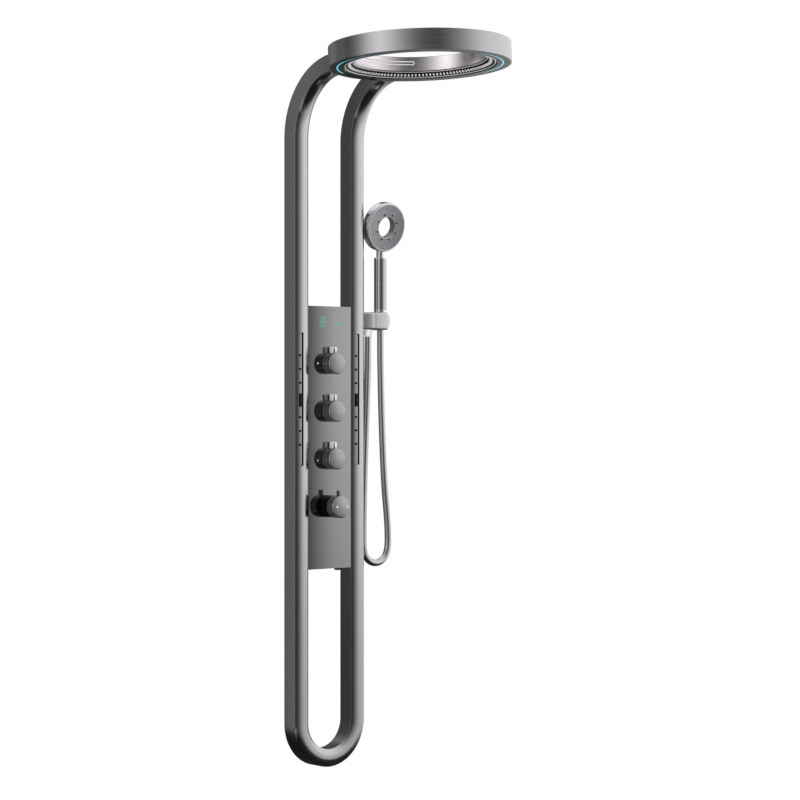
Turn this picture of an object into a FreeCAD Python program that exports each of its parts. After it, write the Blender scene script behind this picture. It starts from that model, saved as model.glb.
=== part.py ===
"""Wall-hung shower column: two bent rails, ring head, control panel, body jets, hand shower.

Millimetres. X runs right, Y into the wall, Z up. The origin lies on the wall plane,
behind the middle of the control panel, so the front of the column faces minus Y.
"""
import FreeCAD, Part
import math
import os

import Sketcher
from FreeCAD import Rotation, Vector

doc = FreeCAD.newDocument("shower_column")
dim = doc.addObject("Spreadsheet::Sheet", "dim")

SIZES = {
    # rails and their bends
    "rail_pitch": 150.0,
    "rail_width": 36.0,
    "rail_side": 34.0,
    "rail_crown": 6.0,
    "rail_wall": 2.5,
    "lower_bend_drop": 580.0,
    "upper_bend_z": 607.0,
    "arm_radius": 158.0,
    # ring head
    "arm_bite": 6.1,
    "head_radius": 180.0,
    "ring_width": 51.6,
    "head_height": 41.0,
    "head_pitch": 2.8,
    "head_wall": 3.0,
    "cone_width": 23.6,
    "cone_rise": 12.0,
    "underside_skin": 2.5,
    "light_inset": 17.0,
    "light_width": 2.4,
    "light_depth": 1.4,
    "light_gap_angle": 55.0,
    "strip_start": 4.6,
    "strip_width": 12.0,
    "strip_proud": 0.6,
    "seat_gap": 0.05,
    "nozzle_count": 120,
    "nozzle_width": 3.2,
    "nozzle_length": 7.0,
    "nozzle_proud": 1.2,
    "spout_angle": 72.0,
    "spout_height": 9.0,
    "spout_drop": 13.0,
    "spout_lip": 1.2,
    "spout_mouth": 6.0,
    # control panel
    "panel_height": 536.0,
    "panel_gap": 0.3,
    "front_skin": 3.5,
    "box_wall": 2.0,
    "box_inset": 1.0,
    "plate_skin": 3.0,
    "screw_spread_x": 80.0,
    "screw_inset": 23.0,
    "screw_hole": 3.25,
    "display_width": 84.0,
    "display_height": 40.0,
    "display_skin": 2.0,
    "display_drop": 40.0,
    "drain_width": 13.0,
    "drain_height": 6.0,
    "drain_depth": 12.0,
    "drain_x": 29.0,
    "drain_y": 26.0,
    # valve body and water ways
    "valve_width": 44.0,
    "valve_skin": 14.0,
    "valve_back": 14.0,
    "valve_top_gap": 22.0,
    "valve_foot_gap": 36.0,
    "inlet_spread": 70.0,
    "inlet_rise": 63.0,
    "inlet_arm": 34.0,
    "inlet_bore": 7.5,
    "nut_across": 17.5,
    "nut_bore": 10.48,
    "nut_recess": 0.5,
    "nut_window": 19.0,
    "post_radius": 5.0,
    "post_spread": 30.0,
    "post_inset": 93.0,
    "elbow_drop": 36.0,
    "elbow_radius": 7.0,
    "elbow_socket": 8.5,
    "elbow_rise": 22.0,
    "pipe_radius": 6.0,
    "pipe_bore": 4.5,
    "pipe_clear": 1.0,
    "feed_radius": 3.5,
    "feed_z": 75.0,
    "bolt_head": 5.0,
    "bolt_head_skin": 3.0,
    "bolt_radius": 2.5,
    "bolt_grip": 8.0,
    "bolt_y": 12.0,
    "bolt_inset": 20.5,
    # knobs, spindles and cartridges
    "knob_drop": 116.8,
    "knob_rise": 127.3,
    "knob_radius": 22.0,
    "knob_length": 29.5,
    "knob_gap": 1.0,
    "knob_chamfer": 3.0,
    "knob_cavity": 16.0,
    "knob_cavity_depth": 8.0,
    "lever_width": 5.0,
    "lever_top": 34.0,
    "lever_root": 17.5,
    "lever_start": 4.0,
    "lever_end": 20.0,
    "lever_round": 1.2,
    "spindle_radius": 4.0,
    "spindle_reach": 17.0,
    "spindle_tail": 12.0,
    "socket_radius": 12.0,
    "socket_depth": 11.0,
    "flange_radius": 14.5,
    "flange_skin": 2.0,
    "neck_radius": 7.5,
    "neck_reach": 4.0,
    "panel_hole": 8.0,
    "running_gap": 0.05,
    "thermo_radius": 23.0,
    "thermo_length": 41.5,
    "collar_length": 17.0,
    "collar_step": 0.5,
    "collar_gap": 0.4,
    "collar_wall": 5.0,
    "button_width": 5.0,
    "button_start": 24.0,
    "button_end": 33.0,
    "button_top": 33.0,
    "button_root": 18.0,
    "button_travel": 2.5,
    "button_gap": 0.15,
    # body jets
    "jet_low": 56.5,
    "jet_top_gap": 19.0,
    "slot_offset": 8.0,
    "slot_half": 6.5,
    "slot_more": 1.6,
    "bar_axis_y": 28.5,
    "bar_radius": 10.4,
    "bar_left": 6.1,
    "bar_right": 3.8,
    "bar_back": 26.8,
    "bar_end_gap": 0.5,
    "pivot_radius": 1.5,
    "pivot_length": 2.6,
    "cradle_half": 7.3,
    "cradle_front": 32.4,
    "cradle_floor": 25.0,
    "cradle_back": 22.5,
    "cradle_wall": 0.7,
    "cradle_end": 3.4,
    "jet_radius": 1.6,
    "jet_length": 6.0,
    "jet_proud": 0.4,
    "jet_shift": -1.65,
    "jet_inner": 34.7,
    "jet_pitch": 27.9,
    "tab_width": 6.0,
    "tab_height": 27.0,
    "tab_proud": 4.0,
    "tab_root": 1.6,
    # hand shower, its holder and hose
    "holder_z": 222.4,
    "holder_height": 36.6,
    "holder_radius": 20.0,
    "holder_seam": 26.5,
    "holder_step": 3.0,
    "holder_bore": 12.3,
    "holder_slot": 17.0,
    "handset_out": 54.0,
    "handset_y": 24.5,
    "handle_radius": 13.5,
    "handle_bore": 8.0,
    "handle_length": 114.3,
    "handle_chamfer": 2.0,
    "grip_collar": 6.0,
    "neck_shaft": 8.5,
    "neck_length": 14.1,
    "spray_radius": 51.5,
    "spray_hole": 22.0,
    "spray_skin": 20.0,
    "spray_round": 4.0,
    "spray_lip": 3.0,
    "spray_tilt": 12.0,
    "face_inner": 24.5,
    "face_outer": 46.5,
    "face_depth": 2.0,
    "hose_radius": 7.0,
    "hose_nut_radius": 11.8,
    "hose_nut_foot": 9.0,
    "hose_nut_end": 224.0,
    "outlet_radius": 9.5,
    "outlet_end": 208.0,
    "outlet_step": 5.0,
    "outlet_lip": 8.0,
    # how far cutting tools run past what they cut
    "overrun": 5.0,
}
for row, (alias, number) in enumerate(SIZES.items(), start=1):
    dim.set(f"A{row}", alias)
    dim.set(f"B{row}", str(number))
    dim.setAlias(f"B{row}", alias)
doc.recompute()

NODES = []
UPRIGHT = Rotation()
FORWARD = Rotation(Vector(1, 0, 0), 90)


def size(expression):
    """Number that an expression over the sheet gives."""
    result = dim.evalExpression(expression)
    return float(getattr(result, "Value", result))


def place(piece, at, turn=UPRIGHT):
    """Put a piece at three expressions, with a fixed turn."""
    piece.Placement = FreeCAD.Placement(Vector(*(size(part) for part in at)), turn)
    for letter, part in zip("xyz", at):
        piece.setExpression(f"Placement.Base.{letter}", part)
    return piece


def node(piece, label):
    """Keep a finished piece under its own label."""
    piece.Label = label
    NODES.append(piece)
    return piece


def block(name, spans, at):
    """Box with its lowest corner at a point."""
    piece = doc.addObject("Part::Box", name)
    for side, span in zip(("Length", "Width", "Height"), spans):
        piece.setExpression(side, span)
    return place(piece, at)


def rod(name, radius, length, at, turn=UPRIGHT):
    """Round bar that starts at a point."""
    piece = doc.addObject("Part::Cylinder", name)
    piece.setExpression("Radius", radius)
    piece.setExpression("Height", length)
    return place(piece, at, turn)


def joined(name, pieces):
    piece = doc.addObject("Part::MultiFuse", name)
    piece.Shapes = pieces
    piece.Refine = True
    return piece


def group(name, pieces):
    piece = doc.addObject("Part::Compound", name)
    piece.Links = pieces
    return piece


def cut(name, base, tools):
    piece = doc.addObject("Part::Cut", name)
    piece.Base = base
    piece.Tool = tools[0] if len(tools) == 1 else joined(f"{name}_tools", tools)
    return piece


def shared(name, pieces):
    piece = doc.addObject("Part::MultiCommon", name)
    piece.Shapes = pieces
    return piece


def body_sketch(name, role):
    """New body with an empty sketch on one of its own planes."""
    body = doc.addObject("PartDesign::Body", name)
    sketch = body.newObject("Sketcher::SketchObject", f"{name}_sketch")
    plane = next(item for item in body.Origin.OriginFeatures if item.Role == role)
    sketch.AttachmentSupport = [(plane, "")]
    sketch.MapMode = "FlatFace"
    return body, sketch


def pin_point(sketch, line, end, across, up):
    """Tie one end of a sketch line to two expressions."""
    for kind, part in (("DistanceX", across), ("DistanceY", up)):
        rule = Sketcher.Constraint(kind, -1, 1, line, end, size(part))
        index = sketch.addConstraint(rule)
        sketch.setExpression(f"Constraints[{index}]", part)


def polygon(sketch, corners):
    """Closed outline of straight lines through expression pairs."""
    first = sketch.GeometryCount
    points = [Vector(size(across), size(up), 0) for across, up in corners]
    for start, end in zip(points, points[1:] + points[:1]):
        sketch.addGeometry(Part.LineSegment(start, end), False)
    for index, (across, up) in enumerate(corners):
        after = first + (index + 1) % len(corners)
        sketch.addConstraint(Sketcher.Constraint("Coincident", first + index, 2, after, 1))
        pin_point(sketch, first + index, 1, across, up)


def turned(name, corners, at, turn=UPRIGHT):
    """Body of revolution about its own upright axis; corners are radius and height."""
    body, sketch = body_sketch(name, "XZ_Plane")
    polygon(sketch, corners)
    spin = body.newObject("PartDesign::Revolution", f"{name}_spin")
    spin.Profile = sketch
    spin.ReferenceAxis = (sketch, ["V_Axis"])
    spin.Angle = 360
    return place(body, at, turn)


RAIL_DEPTH = "(dim.rail_side + dim.rail_crown)"
RAIL_HALF = "(dim.rail_width / 2)"
CROWN_RADIUS = f"(({RAIL_HALF}^2 + dim.rail_crown^2) / (2 * dim.rail_crown))"
CROWN_CENTRE = f"({RAIL_DEPTH} - {CROWN_RADIUS})"


def crowned_loop(sketch, middle, back, inset):
    """Flat back, flat sides and a shallow round front, drawn towards minus Y."""
    half = f"({RAIL_HALF} - {inset})"
    radius = f"({CROWN_RADIUS} - {inset})"
    centre = f"({back} - {CROWN_CENTRE})"
    rear = f"({back} - {inset})"
    shoulder = f"({centre} - sqrt({radius}^2 - {half}^2))"
    left = f"({middle} - {half})"
    right = f"({middle} + {half})"
    corners = ((left, rear), (left, shoulder), (right, shoulder), (right, rear))
    points = [Vector(size(across), size(up), 0) for across, up in corners]
    hub = Vector(size(middle), size(centre), 0)
    first = sketch.GeometryCount
    angles = [math.atan2(point.y - hub.y, point.x - hub.x) for point in points[1:3]]
    crown = Part.ArcOfCircle(Part.Circle(hub, Vector(0, 0, 1), size(radius)), *angles)
    sketch.addGeometry(Part.LineSegment(points[0], points[1]), False)
    sketch.addGeometry(crown, False)
    sketch.addGeometry(Part.LineSegment(points[2], points[3]), False)
    sketch.addGeometry(Part.LineSegment(points[3], points[0]), False)
    for index in range(4):
        after = first + (index + 1) % 4
        sketch.addConstraint(Sketcher.Constraint("Coincident", first + index, 2, after, 1))
    pin_point(sketch, first, 1, *corners[0])
    pin_point(sketch, first, 2, *corners[1])
    pin_point(sketch, first + 2, 1, *corners[2])
    pin_point(sketch, first + 2, 2, *corners[3])
    index = sketch.addConstraint(Sketcher.Constraint("Radius", first + 1, size(radius)))
    sketch.setExpression(f"Constraints[{index}]", radius)


def rail_body(name, middle, back):
    """Body holding the hollow rail section, ready to be padded or bent."""
    body, sketch = body_sketch(name, "XY_Plane")
    crowned_loop(sketch, middle, back, "0")
    crowned_loop(sketch, middle, back, "dim.rail_wall")
    return body, sketch


def bent(name, middle, back, axis, degrees, at):
    """Rail section turned about one of its sketch axes."""
    body, sketch = rail_body(name, middle, back)
    bend = body.newObject("PartDesign::Revolution", f"{name}_bend")
    bend.Profile = sketch
    bend.ReferenceAxis = (sketch, [axis])
    bend.Angle = degrees
    return place(body, at)


SIDES = (("left", "-1"), ("right", "1"))
OVER = "dim.overrun"
PITCH = "(dim.head_pitch * 1 deg)"
HALF_PITCH = "(dim.rail_pitch / 2)"
FRONT_Y = "(-dim.rail_side)"
BOX_FRONT_Y = "(-dim.rail_side + dim.front_skin)"
PANEL_HALF = f"({HALF_PITCH} - {RAIL_HALF} - dim.panel_gap)"
PANEL_TOP = "(dim.panel_height / 2)"
BOX_HALF_Z = f"({PANEL_TOP} - dim.box_inset)"
SCREW_Z = f"({PANEL_TOP} - dim.screw_inset)"
INLET_Z = f"({PANEL_TOP} - dim.inlet_rise)"
ELBOW_Z = f"({PANEL_TOP} - dim.elbow_drop)"
POST_Z = f"({PANEL_TOP} - dim.post_inset)"
VALVE_TOP = f"({PANEL_TOP} - dim.valve_top_gap)"
VALVE_FOOT = f"({PANEL_TOP} - dim.valve_foot_gap)"
VALVE_FRONT_Y = "(-dim.valve_back - dim.valve_skin)"
WATER_Y = f"(-{RAIL_DEPTH} / 2)"
ARM_MID = f"(dim.arm_radius - {RAIL_DEPTH} / 2)"
ARM_EDGE = f"({HALF_PITCH} + {RAIL_HALF})"
RING_BACK = f"sqrt(dim.head_radius^2 - {ARM_EDGE}^2)"
HEAD_REACH = f"(dim.arm_radius + {RING_BACK} - dim.arm_bite)"
HEAD_RUN = f"({HEAD_REACH} - dim.arm_radius + {ARM_MID} * sin({PITCH}))"
HEAD_Z = f"(dim.upper_bend_z + {ARM_MID} * cos({PITCH}) + {HEAD_RUN} * tan({PITCH}))"
HEAD_AT = ("0", f"-{HEAD_REACH}", HEAD_Z)
HEAD_TURN = Rotation(Vector(-1, 0, 0), size("dim.head_pitch"))
HEAD_HALF = "(dim.head_height / 2)"
HEAD_BORE = "(dim.head_radius - dim.ring_width)"
RIM = f"({HEAD_BORE} + dim.cone_width)"
LIGHT = "(dim.head_radius - dim.light_inset)"
STRIP_IN = f"({HEAD_BORE} + dim.strip_start)"
STRIP_OUT = f"({STRIP_IN} + dim.strip_width)"

# ring head: a channel of rolled sheet, closed below by the black underside
head_channel = turned("head_channel", [
    ("dim.head_radius", f"-{HEAD_HALF}"),
    ("dim.head_radius", HEAD_HALF),
    (HEAD_BORE, HEAD_HALF),
    (HEAD_BORE, f"dim.cone_rise - {HEAD_HALF}"),
    (f"{HEAD_BORE} + dim.head_wall", f"dim.cone_rise - {HEAD_HALF}"),
    (f"{HEAD_BORE} + dim.head_wall", f"{HEAD_HALF} - dim.head_wall"),
    ("dim.head_radius - dim.head_wall", f"{HEAD_HALF} - dim.head_wall"),
    ("dim.head_radius - dim.head_wall", f"-{HEAD_HALF}"),
], HEAD_AT, HEAD_TURN)


def head_place(piece, height, spin):
    """Lay a piece on the pitched ring, at a height on its axis and a spin about it."""
    axis = HEAD_TURN.multVec(Vector(0, 0, size(height)))
    centre = Vector(*(size(part) for part in HEAD_AT))
    spun = HEAD_TURN.multiply(Rotation(Vector(0, 0, 1), spin))
    piece.Placement = FreeCAD.Placement(centre + axis, spun)
    return piece


def head_sector(name, inner, outer, height, low, degrees):
    """Part of a flat ring on the head, centred on its back."""
    spin = 90 - size(degrees) / 2
    pieces = []
    for part, radius in (("outer", outer), ("inner", inner)):
        piece = doc.addObject("Part::Cylinder", f"{name}_{part}")
        piece.setExpression("Radius", radius)
        piece.setExpression("Height", height)
        piece.setExpression("Angle", degrees)
        pieces.append(head_place(piece, low, spin))
    return cut(name, pieces[0], pieces[1:])


SPOUT_LOW = f"({HEAD_HALF} - dim.spout_drop - dim.spout_height / 2)"
SPOUT_OUT = f"({HEAD_BORE} + dim.head_wall)"
spout_window = head_sector(
    "spout_window", f"{HEAD_BORE} - {OVER}", f"{SPOUT_OUT} + {OVER}",
    "dim.spout_height", SPOUT_LOW, "dim.spout_angle")
pipe_holes = []
for side, sign in SIDES:
    hole = rod(
        f"{side}_pipe_hole", "dim.pipe_radius + dim.pipe_clear", f"{HEAD_REACH} / 2",
        (f"{sign} * {HALF_PITCH}", "-dim.arm_radius", f"dim.upper_bend_z + {ARM_MID}"), FORWARD)
    hole.setExpression("Placement.Base.y", f"-dim.arm_radius + {ARM_MID} / 2")
    pipe_holes.append(hole)
pipe_run = shared("pipe_run", [
    joined("pipe_hole_pair", pipe_holes),
    turned("outer_wall_zone", [
        ("dim.head_radius - dim.head_wall * 2", f"-dim.head_height"),
        ("dim.head_radius - dim.head_wall * 2", "dim.head_height"),
        ("dim.head_radius + dim.head_wall", "dim.head_height"),
        ("dim.head_radius + dim.head_wall", "-dim.head_height"),
    ], HEAD_AT, HEAD_TURN),
])
node(cut("head_body", head_channel, [spout_window, pipe_run]), "head_shell")

# waterfall spout: a thin frame lining the window in the ring's inner wall
LIP = "dim.spout_lip"
LIP_ANGLE = f"(2 * atan({LIP} / {HEAD_BORE}) / 1 deg)"
spout_frame = head_sector(
    "spout_frame", f"{HEAD_BORE} - {LIP}", f"{SPOUT_OUT} + dim.spout_mouth",
    "dim.spout_height", SPOUT_LOW, "dim.spout_angle")
spout_mouth = head_sector(
    "spout_throat", f"{HEAD_BORE} - {LIP} - {OVER}", f"{SPOUT_OUT} + dim.spout_mouth - {LIP}",
    f"dim.spout_height - 2 * {LIP}", f"{SPOUT_LOW} + {LIP}", f"dim.spout_angle - {LIP_ANGLE}")
node(cut("spout_body", spout_frame, [spout_mouth]), "waterfall_spout")

# black underside: flat rim, then a cone up to the inner wall, with its light groove
CONE_SLOPE = "(dim.cone_rise / dim.cone_width)"
CONE_END = f"({HEAD_BORE} + dim.head_wall)"
CONE_END_Z = f"(-{HEAD_HALF} + ({RIM} - {CONE_END}) * {CONE_SLOPE})"
underside = turned("underside_plate", [
    ("dim.head_radius - dim.head_wall", f"-{HEAD_HALF}"),
    ("dim.head_radius - dim.head_wall", f"-{HEAD_HALF} + dim.underside_skin"),
    (RIM, f"-{HEAD_HALF} + dim.underside_skin"),
    (CONE_END, f"{CONE_END_Z} + dim.underside_skin"),
    (CONE_END, CONE_END_Z),
    (RIM, f"-{HEAD_HALF}"),
], HEAD_AT, HEAD_TURN)


def light_arc(name):
    """Light guide: a flat arc in the rim, open at the back between the arms."""
    arc = head_sector(
        name, f"{LIGHT} - dim.light_width / 2", f"{LIGHT} + dim.light_width / 2",
        "dim.light_depth", f"-{HEAD_HALF}", "360 - dim.light_gap_angle")
    for piece in (arc.Base, arc.Tool):
        head_place(piece, f"-{HEAD_HALF}", 90 + size("dim.light_gap_angle") / 2)
    return arc


def strip_z(radius):
    """Height just under the cone's lower face at a radius."""
    return f"(-{HEAD_HALF} + ({RIM} - ({radius})) * {CONE_SLOPE} - dim.seat_gap)"


node(cut("underside_body", underside, [light_arc("light_groove")]), "head_underside")
node(light_arc("light_guide"), "head_light")

# nozzle strip: a pale silicone band lying on the cone, with its row of soft nozzles
node(turned("strip_body", [
    (STRIP_IN, strip_z(STRIP_IN)),
    (STRIP_OUT, strip_z(STRIP_OUT)),
    (STRIP_OUT, f"{strip_z(STRIP_OUT)} - dim.strip_proud"),
    (STRIP_IN, f"{strip_z(STRIP_IN)} - dim.strip_proud"),
], HEAD_AT, HEAD_TURN), "nozzle_strip")


def spray_nozzles():
    """Ring of short bars standing on the strip's sloping face."""
    middle = f"({STRIP_IN} + dim.strip_width / 2)"
    radius = size(middle)
    slope = math.degrees(math.atan(size(CONE_SLOPE)))
    width = size("dim.nozzle_width")
    length = size("dim.nozzle_length")
    proud = size("dim.nozzle_proud")
    height = size(f"{strip_z(middle)} - dim.strip_proud - dim.seat_gap")
    bar = Part.makeBox(length, width, proud, Vector(-length / 2, -width / 2, -proud))
    bar.rotate(Vector(0, 0, 0), Vector(0, 1, 0), slope)
    bar.translate(Vector(radius, 0, height))
    count = int(size("dim.nozzle_count"))
    bars = []
    for index in range(count):
        copy = bar.copy()
        copy.rotate(Vector(0, 0, 0), Vector(0, 0, 1), 360 * index / count)
        bars.append(copy)
    piece = doc.addObject("Part::Feature", "nozzle_bars")
    piece.Shape = Part.makeCompound(bars)
    return head_place(piece, "0", 0)


node(spray_nozzles(), "spray_nozzles")

# arms: the rails bend forward and are coped to the ring's outer wall
for side, sign in SIDES:
    bow = bent(
        f"{side}_bow", "0", "dim.arm_radius", "H_Axis", 90,
        (f"{sign} * {HALF_PITCH}", "-dim.arm_radius", "dim.upper_bend_z"))
    cope = doc.addObject("Part::Cylinder", f"{side}_cope")
    cope.setExpression("Radius", "dim.head_radius")
    cope.setExpression("Height", "2 * dim.head_height")
    head_place(cope, "-dim.head_height", 0)
    node(cut(f"{side}_arm_body", bow, [cope]), f"{side}_arm")

# lower bend: a half turn that joins both rails
node(bent(
    "lower_bow", HALF_PITCH, "0", "V_Axis", 180, ("0", "0", "-dim.lower_bend_drop")), "lower_bend")

# straight rails, pierced for the jets, the water ways and the bolts to the panel
JET_TOP = f"({ELBOW_Z} - dim.jet_top_gap)"
JET_LENGTH = f"({JET_TOP} + dim.jet_low)"
JET_MID = f"(({JET_TOP} - dim.jet_low) / 2 + dim.jet_shift)"
BOLT_Z = [f"({step} / 3 - 0.5) * (dim.panel_height - 2 * dim.bolt_inset)" for step in range(4)]


def side_bolts(side, sign, name, radius, start, length):
    """Row of bars through a panel side and the rail beside it."""
    turn = Rotation(Vector(0, 1, 0), 90 * float(sign))
    across = f"{sign} * ({start})"
    return [
        rod(f"{side}_{name}_{index}", radius, length, (across, "-dim.bolt_y", height), turn)
        for index, height in enumerate(BOLT_Z)
    ]


BOX_IN = f"({PANEL_HALF} - dim.box_wall)"
for side, sign in SIDES:
    body, sketch = rail_body(f"{side}_tube", "0", "0")
    pad = body.newObject("PartDesign::Pad", f"{side}_tube_pad")
    pad.Profile = sketch
    pad.setExpression("Length", "dim.upper_bend_z + dim.lower_bend_drop")
    place(body, (f"{sign} * {HALF_PITCH}", "0", "-dim.lower_bend_drop"))
    middle = f"({sign} * {HALF_PITCH})"
    window = block(
        f"{side}_window", ("2 * dim.slot_half + dim.slot_more", f"{RAIL_DEPTH} - dim.cradle_front + {OVER}", JET_LENGTH),
        (f"{middle} - dim.slot_offset - dim.slot_half", f"-{RAIL_DEPTH} - {OVER}", "-dim.jet_low"))
    turn = Rotation(Vector(0, 1, 0), 90 * float(sign))
    reach = f"({HALF_PITCH} - dim.valve_width / 2 - {RAIL_HALF} / 2)"
    inner = (f"{sign} * dim.valve_width / 2", WATER_Y)
    elbow_hole = rod(f"{side}_elbow_hole", "dim.elbow_radius", reach, inner + (ELBOW_Z,), turn)
    feed_y = "-dim.cradle_back - dim.feed_radius - dim.cradle_wall"
    feed_hole = rod(
        f"{side}_feed_hole", "dim.feed_radius", reach, (inner[0], feed_y, "dim.feed_z"), turn)
    bolts = side_bolts(side, sign, "bolt_hole", "dim.bolt_radius", BOX_IN, "dim.bolt_grip")
    node(cut(f"{side}_rail_body", body, [window, elbow_hole, feed_hole] + bolts), f"{side}_rail")

# supply pipes inside the rails, from the elbows up into the head
for side, sign in SIDES:
    middle = f"{sign} * {HALF_PITCH}"
    start = f"{ELBOW_Z} + dim.elbow_rise"
    stretches = []
    for part, overrun in (("wall", "0"), ("bore", OVER)):
        riser = rod(
            f"{side}_riser_{part}", f"dim.pipe_{'radius' if part == 'wall' else 'bore'}",
            f"dim.upper_bend_z - ({start}) + 2 * {overrun}",
            (middle, WATER_Y, f"{start} - {overrun}"))
        crook = doc.addObject("Part::Torus", f"{side}_crook_{part}")
        crook.setExpression("Radius1", ARM_MID)
        crook.setExpression("Radius2", f"dim.pipe_{'radius' if part == 'wall' else 'bore'}")
        crook.setExpression("Angle3", "90 - dim.head_pitch")
        place(crook, (middle, "-dim.arm_radius", "dim.upper_bend_z"), Rotation(Vector(1, 1, 1), 120))
        stretches.append((riser, crook))
    (riser, crook), (riser_bore, crook_bore) = stretches
    node(joined(f"{side}_pipe_body", [
        cut(f"{side}_riser", riser, [riser_bore]),
        cut(f"{side}_crook", crook, [crook_bore]),
    ]), f"{side}_supply_pipe")

# panel: mirror-finished front, four-sided box behind it, plate on the wall
KNOB_PITCH = "((dim.panel_height - dim.knob_drop - dim.knob_rise) / 3)"
KNOB_Z = [f"({PANEL_TOP} - dim.knob_drop - {index} * {KNOB_PITCH})" for index in range(4)]
front_sheet = block(
    "front_sheet", (f"2 * {PANEL_HALF}", "dim.front_skin", "dim.panel_height"),
    (f"-{PANEL_HALF}", FRONT_Y, "-dim.panel_height / 2"))
front_holes = [
    rod(f"front_hole_{index}", "dim.panel_hole", f"dim.front_skin + 2 * {OVER}",
        ("0", f"{BOX_FRONT_Y} + {OVER}", height), FORWARD)
    for index, height in enumerate(KNOB_Z)
]
node(cut("front_body", front_sheet, front_holes), "panel_front")

BOX_DEPTH = "(dim.rail_side - dim.front_skin - dim.plate_skin)"
box_outside = block(
    "box_outside", (f"2 * {PANEL_HALF}", BOX_DEPTH, f"2 * {BOX_HALF_Z}"),
    (f"-{PANEL_HALF}", BOX_FRONT_Y, f"-{BOX_HALF_Z}"))
box_inside = block(
    "box_inside", (f"2 * {BOX_IN}", f"{BOX_DEPTH} + 2 * {OVER}", f"2 * ({BOX_HALF_Z} - dim.box_wall)"),
    (f"-{BOX_IN}", f"{BOX_FRONT_Y} - {OVER}", f"-({BOX_HALF_Z} - dim.box_wall)"))
box_holes = []
for side, sign in SIDES:
    turn = Rotation(Vector(0, 1, 0), 90 * float(sign))
    at = (f"{sign} * dim.valve_width / 2", WATER_Y, ELBOW_Z)
    box_holes.append(rod(f"{side}_box_elbow", "dim.elbow_radius", HALF_PITCH, at, turn))
    at = (at[0], feed_y, "dim.feed_z")
    box_holes.append(rod(f"{side}_box_feed", "dim.feed_radius", HALF_PITCH, at, turn))
    box_holes += side_bolts(side, sign, "box_bolt", "dim.bolt_radius", BOX_IN, "dim.bolt_grip")
node(cut("box_body", box_outside, [box_inside] + box_holes), "panel_box")

plate = block(
    "plate", (f"2 * {PANEL_HALF}", "dim.plate_skin", f"2 * {BOX_HALF_Z}"),
    (f"-{PANEL_HALF}", "-dim.plate_skin", f"-{BOX_HALF_Z}"))
plate_holes = []
for across in ("-1", "1"):
    for up in ("-1", "1"):
        plate_holes.append(rod(
            f"screw_hole_{len(plate_holes)}", "dim.screw_hole", f"dim.plate_skin + 2 * {OVER}",
            (f"{across} * dim.screw_spread_x / 2", OVER, f"{up} * {SCREW_Z}"), FORWARD))
    plate_holes.append(rod(
        f"inlet_window_{len(plate_holes)}", "dim.nut_window", f"dim.plate_skin + 2 * {OVER}",
        (f"{across} * dim.inlet_spread / 2", OVER, f"-{INLET_Z}"), FORWARD))
node(cut("plate_body", plate, plate_holes), "wall_plate")

display = block(
    "display_board", ("dim.display_width", "dim.display_skin", "dim.display_height"),
    ("-dim.display_width / 2", BOX_FRONT_Y, f"{PANEL_TOP} - dim.display_drop - dim.display_height / 2"))
node(display, "display_module")
node(block(
    "drain_block", ("dim.drain_width", "dim.drain_depth", "dim.drain_height"),
    ("dim.drain_x", "-dim.drain_y", f"-{BOX_HALF_Z} - dim.drain_height")), "drain_cap")

heads = []
for side, sign in SIDES:
    shanks = side_bolts(side, sign, "shank", "dim.bolt_radius", BOX_IN, "dim.bolt_grip")
    caps = side_bolts(
        side, sign, "bolt_cap", "dim.bolt_head", f"{BOX_IN} - dim.bolt_head_skin", "dim.bolt_head_skin")
    heads += [joined(f"{side}_bolt_{index}", list(pair)) for index, pair in enumerate(zip(shanks, caps))]
node(group("bolt_set", heads), "rail_bolts")

# valve body: a bar with four cartridge sockets and two inlet arms at its foot
bar = block(
    "valve_bar", ("dim.valve_width", "dim.valve_skin", f"{VALVE_TOP} + {VALVE_FOOT}"),
    ("-dim.valve_width / 2", VALVE_FRONT_Y, f"-{VALVE_FOOT}"))
arm = block(
    "inlet_bar", ("dim.inlet_spread + dim.inlet_arm", "dim.valve_skin", "dim.inlet_arm"),
    ("-(dim.inlet_spread + dim.inlet_arm) / 2", VALVE_FRONT_Y, f"-{INLET_Z} - dim.inlet_arm / 2"))
sockets = [
    rod(f"socket_{index}", "dim.socket_radius", f"dim.socket_depth + {OVER}",
        ("0", f"{VALVE_FRONT_Y} + dim.socket_depth", height), FORWARD)
    for index, height in enumerate(KNOB_Z)
]
ways = [
    rod(f"{side}_inlet_way", "dim.inlet_bore", f"dim.valve_skin / 2 + {OVER}",
        (f"{sign} * dim.inlet_spread / 2", f"-dim.valve_back + {OVER}", f"-{INLET_Z}"), FORWARD)
    for side, sign in SIDES
]
node(cut("valve_casting", joined("valve_blank", [bar, arm]), sockets + ways), "valve_body")
posts = []
for across in ("-1", "1"):
    for up in ("-1", "1"):
        posts.append(rod(
            f"post_{len(posts)}", "dim.post_radius", "dim.valve_back - dim.plate_skin",
            (f"{across} * dim.post_spread / 2", "-dim.plate_skin", f"{up} * {POST_Z}"), FORWARD))
node(group("post_set", posts), "valve_posts")

for side, sign, label in (("left", "-1", "hot_inlet_nut"), ("right", "1", "cold_inlet_nut")):
    at = (f"{sign} * dim.inlet_spread / 2", "-dim.nut_recess", f"-{INLET_Z}")
    hexagon = doc.addObject("Part::Prism", f"{side}_hexagon")
    hexagon.Polygon = 6
    hexagon.setExpression("Circumradius", "dim.nut_across")
    hexagon.setExpression("Height", "dim.valve_back - dim.nut_recess")
    place(hexagon, at, FORWARD)
    bore = rod(f"{side}_nut_bore", "dim.nut_bore", f"dim.valve_back + 2 * {OVER}", at, FORWARD)
    bore.setExpression("Placement.Base.y", OVER)
    node(cut(f"{side}_nut", hexagon, [bore]), label)

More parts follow.
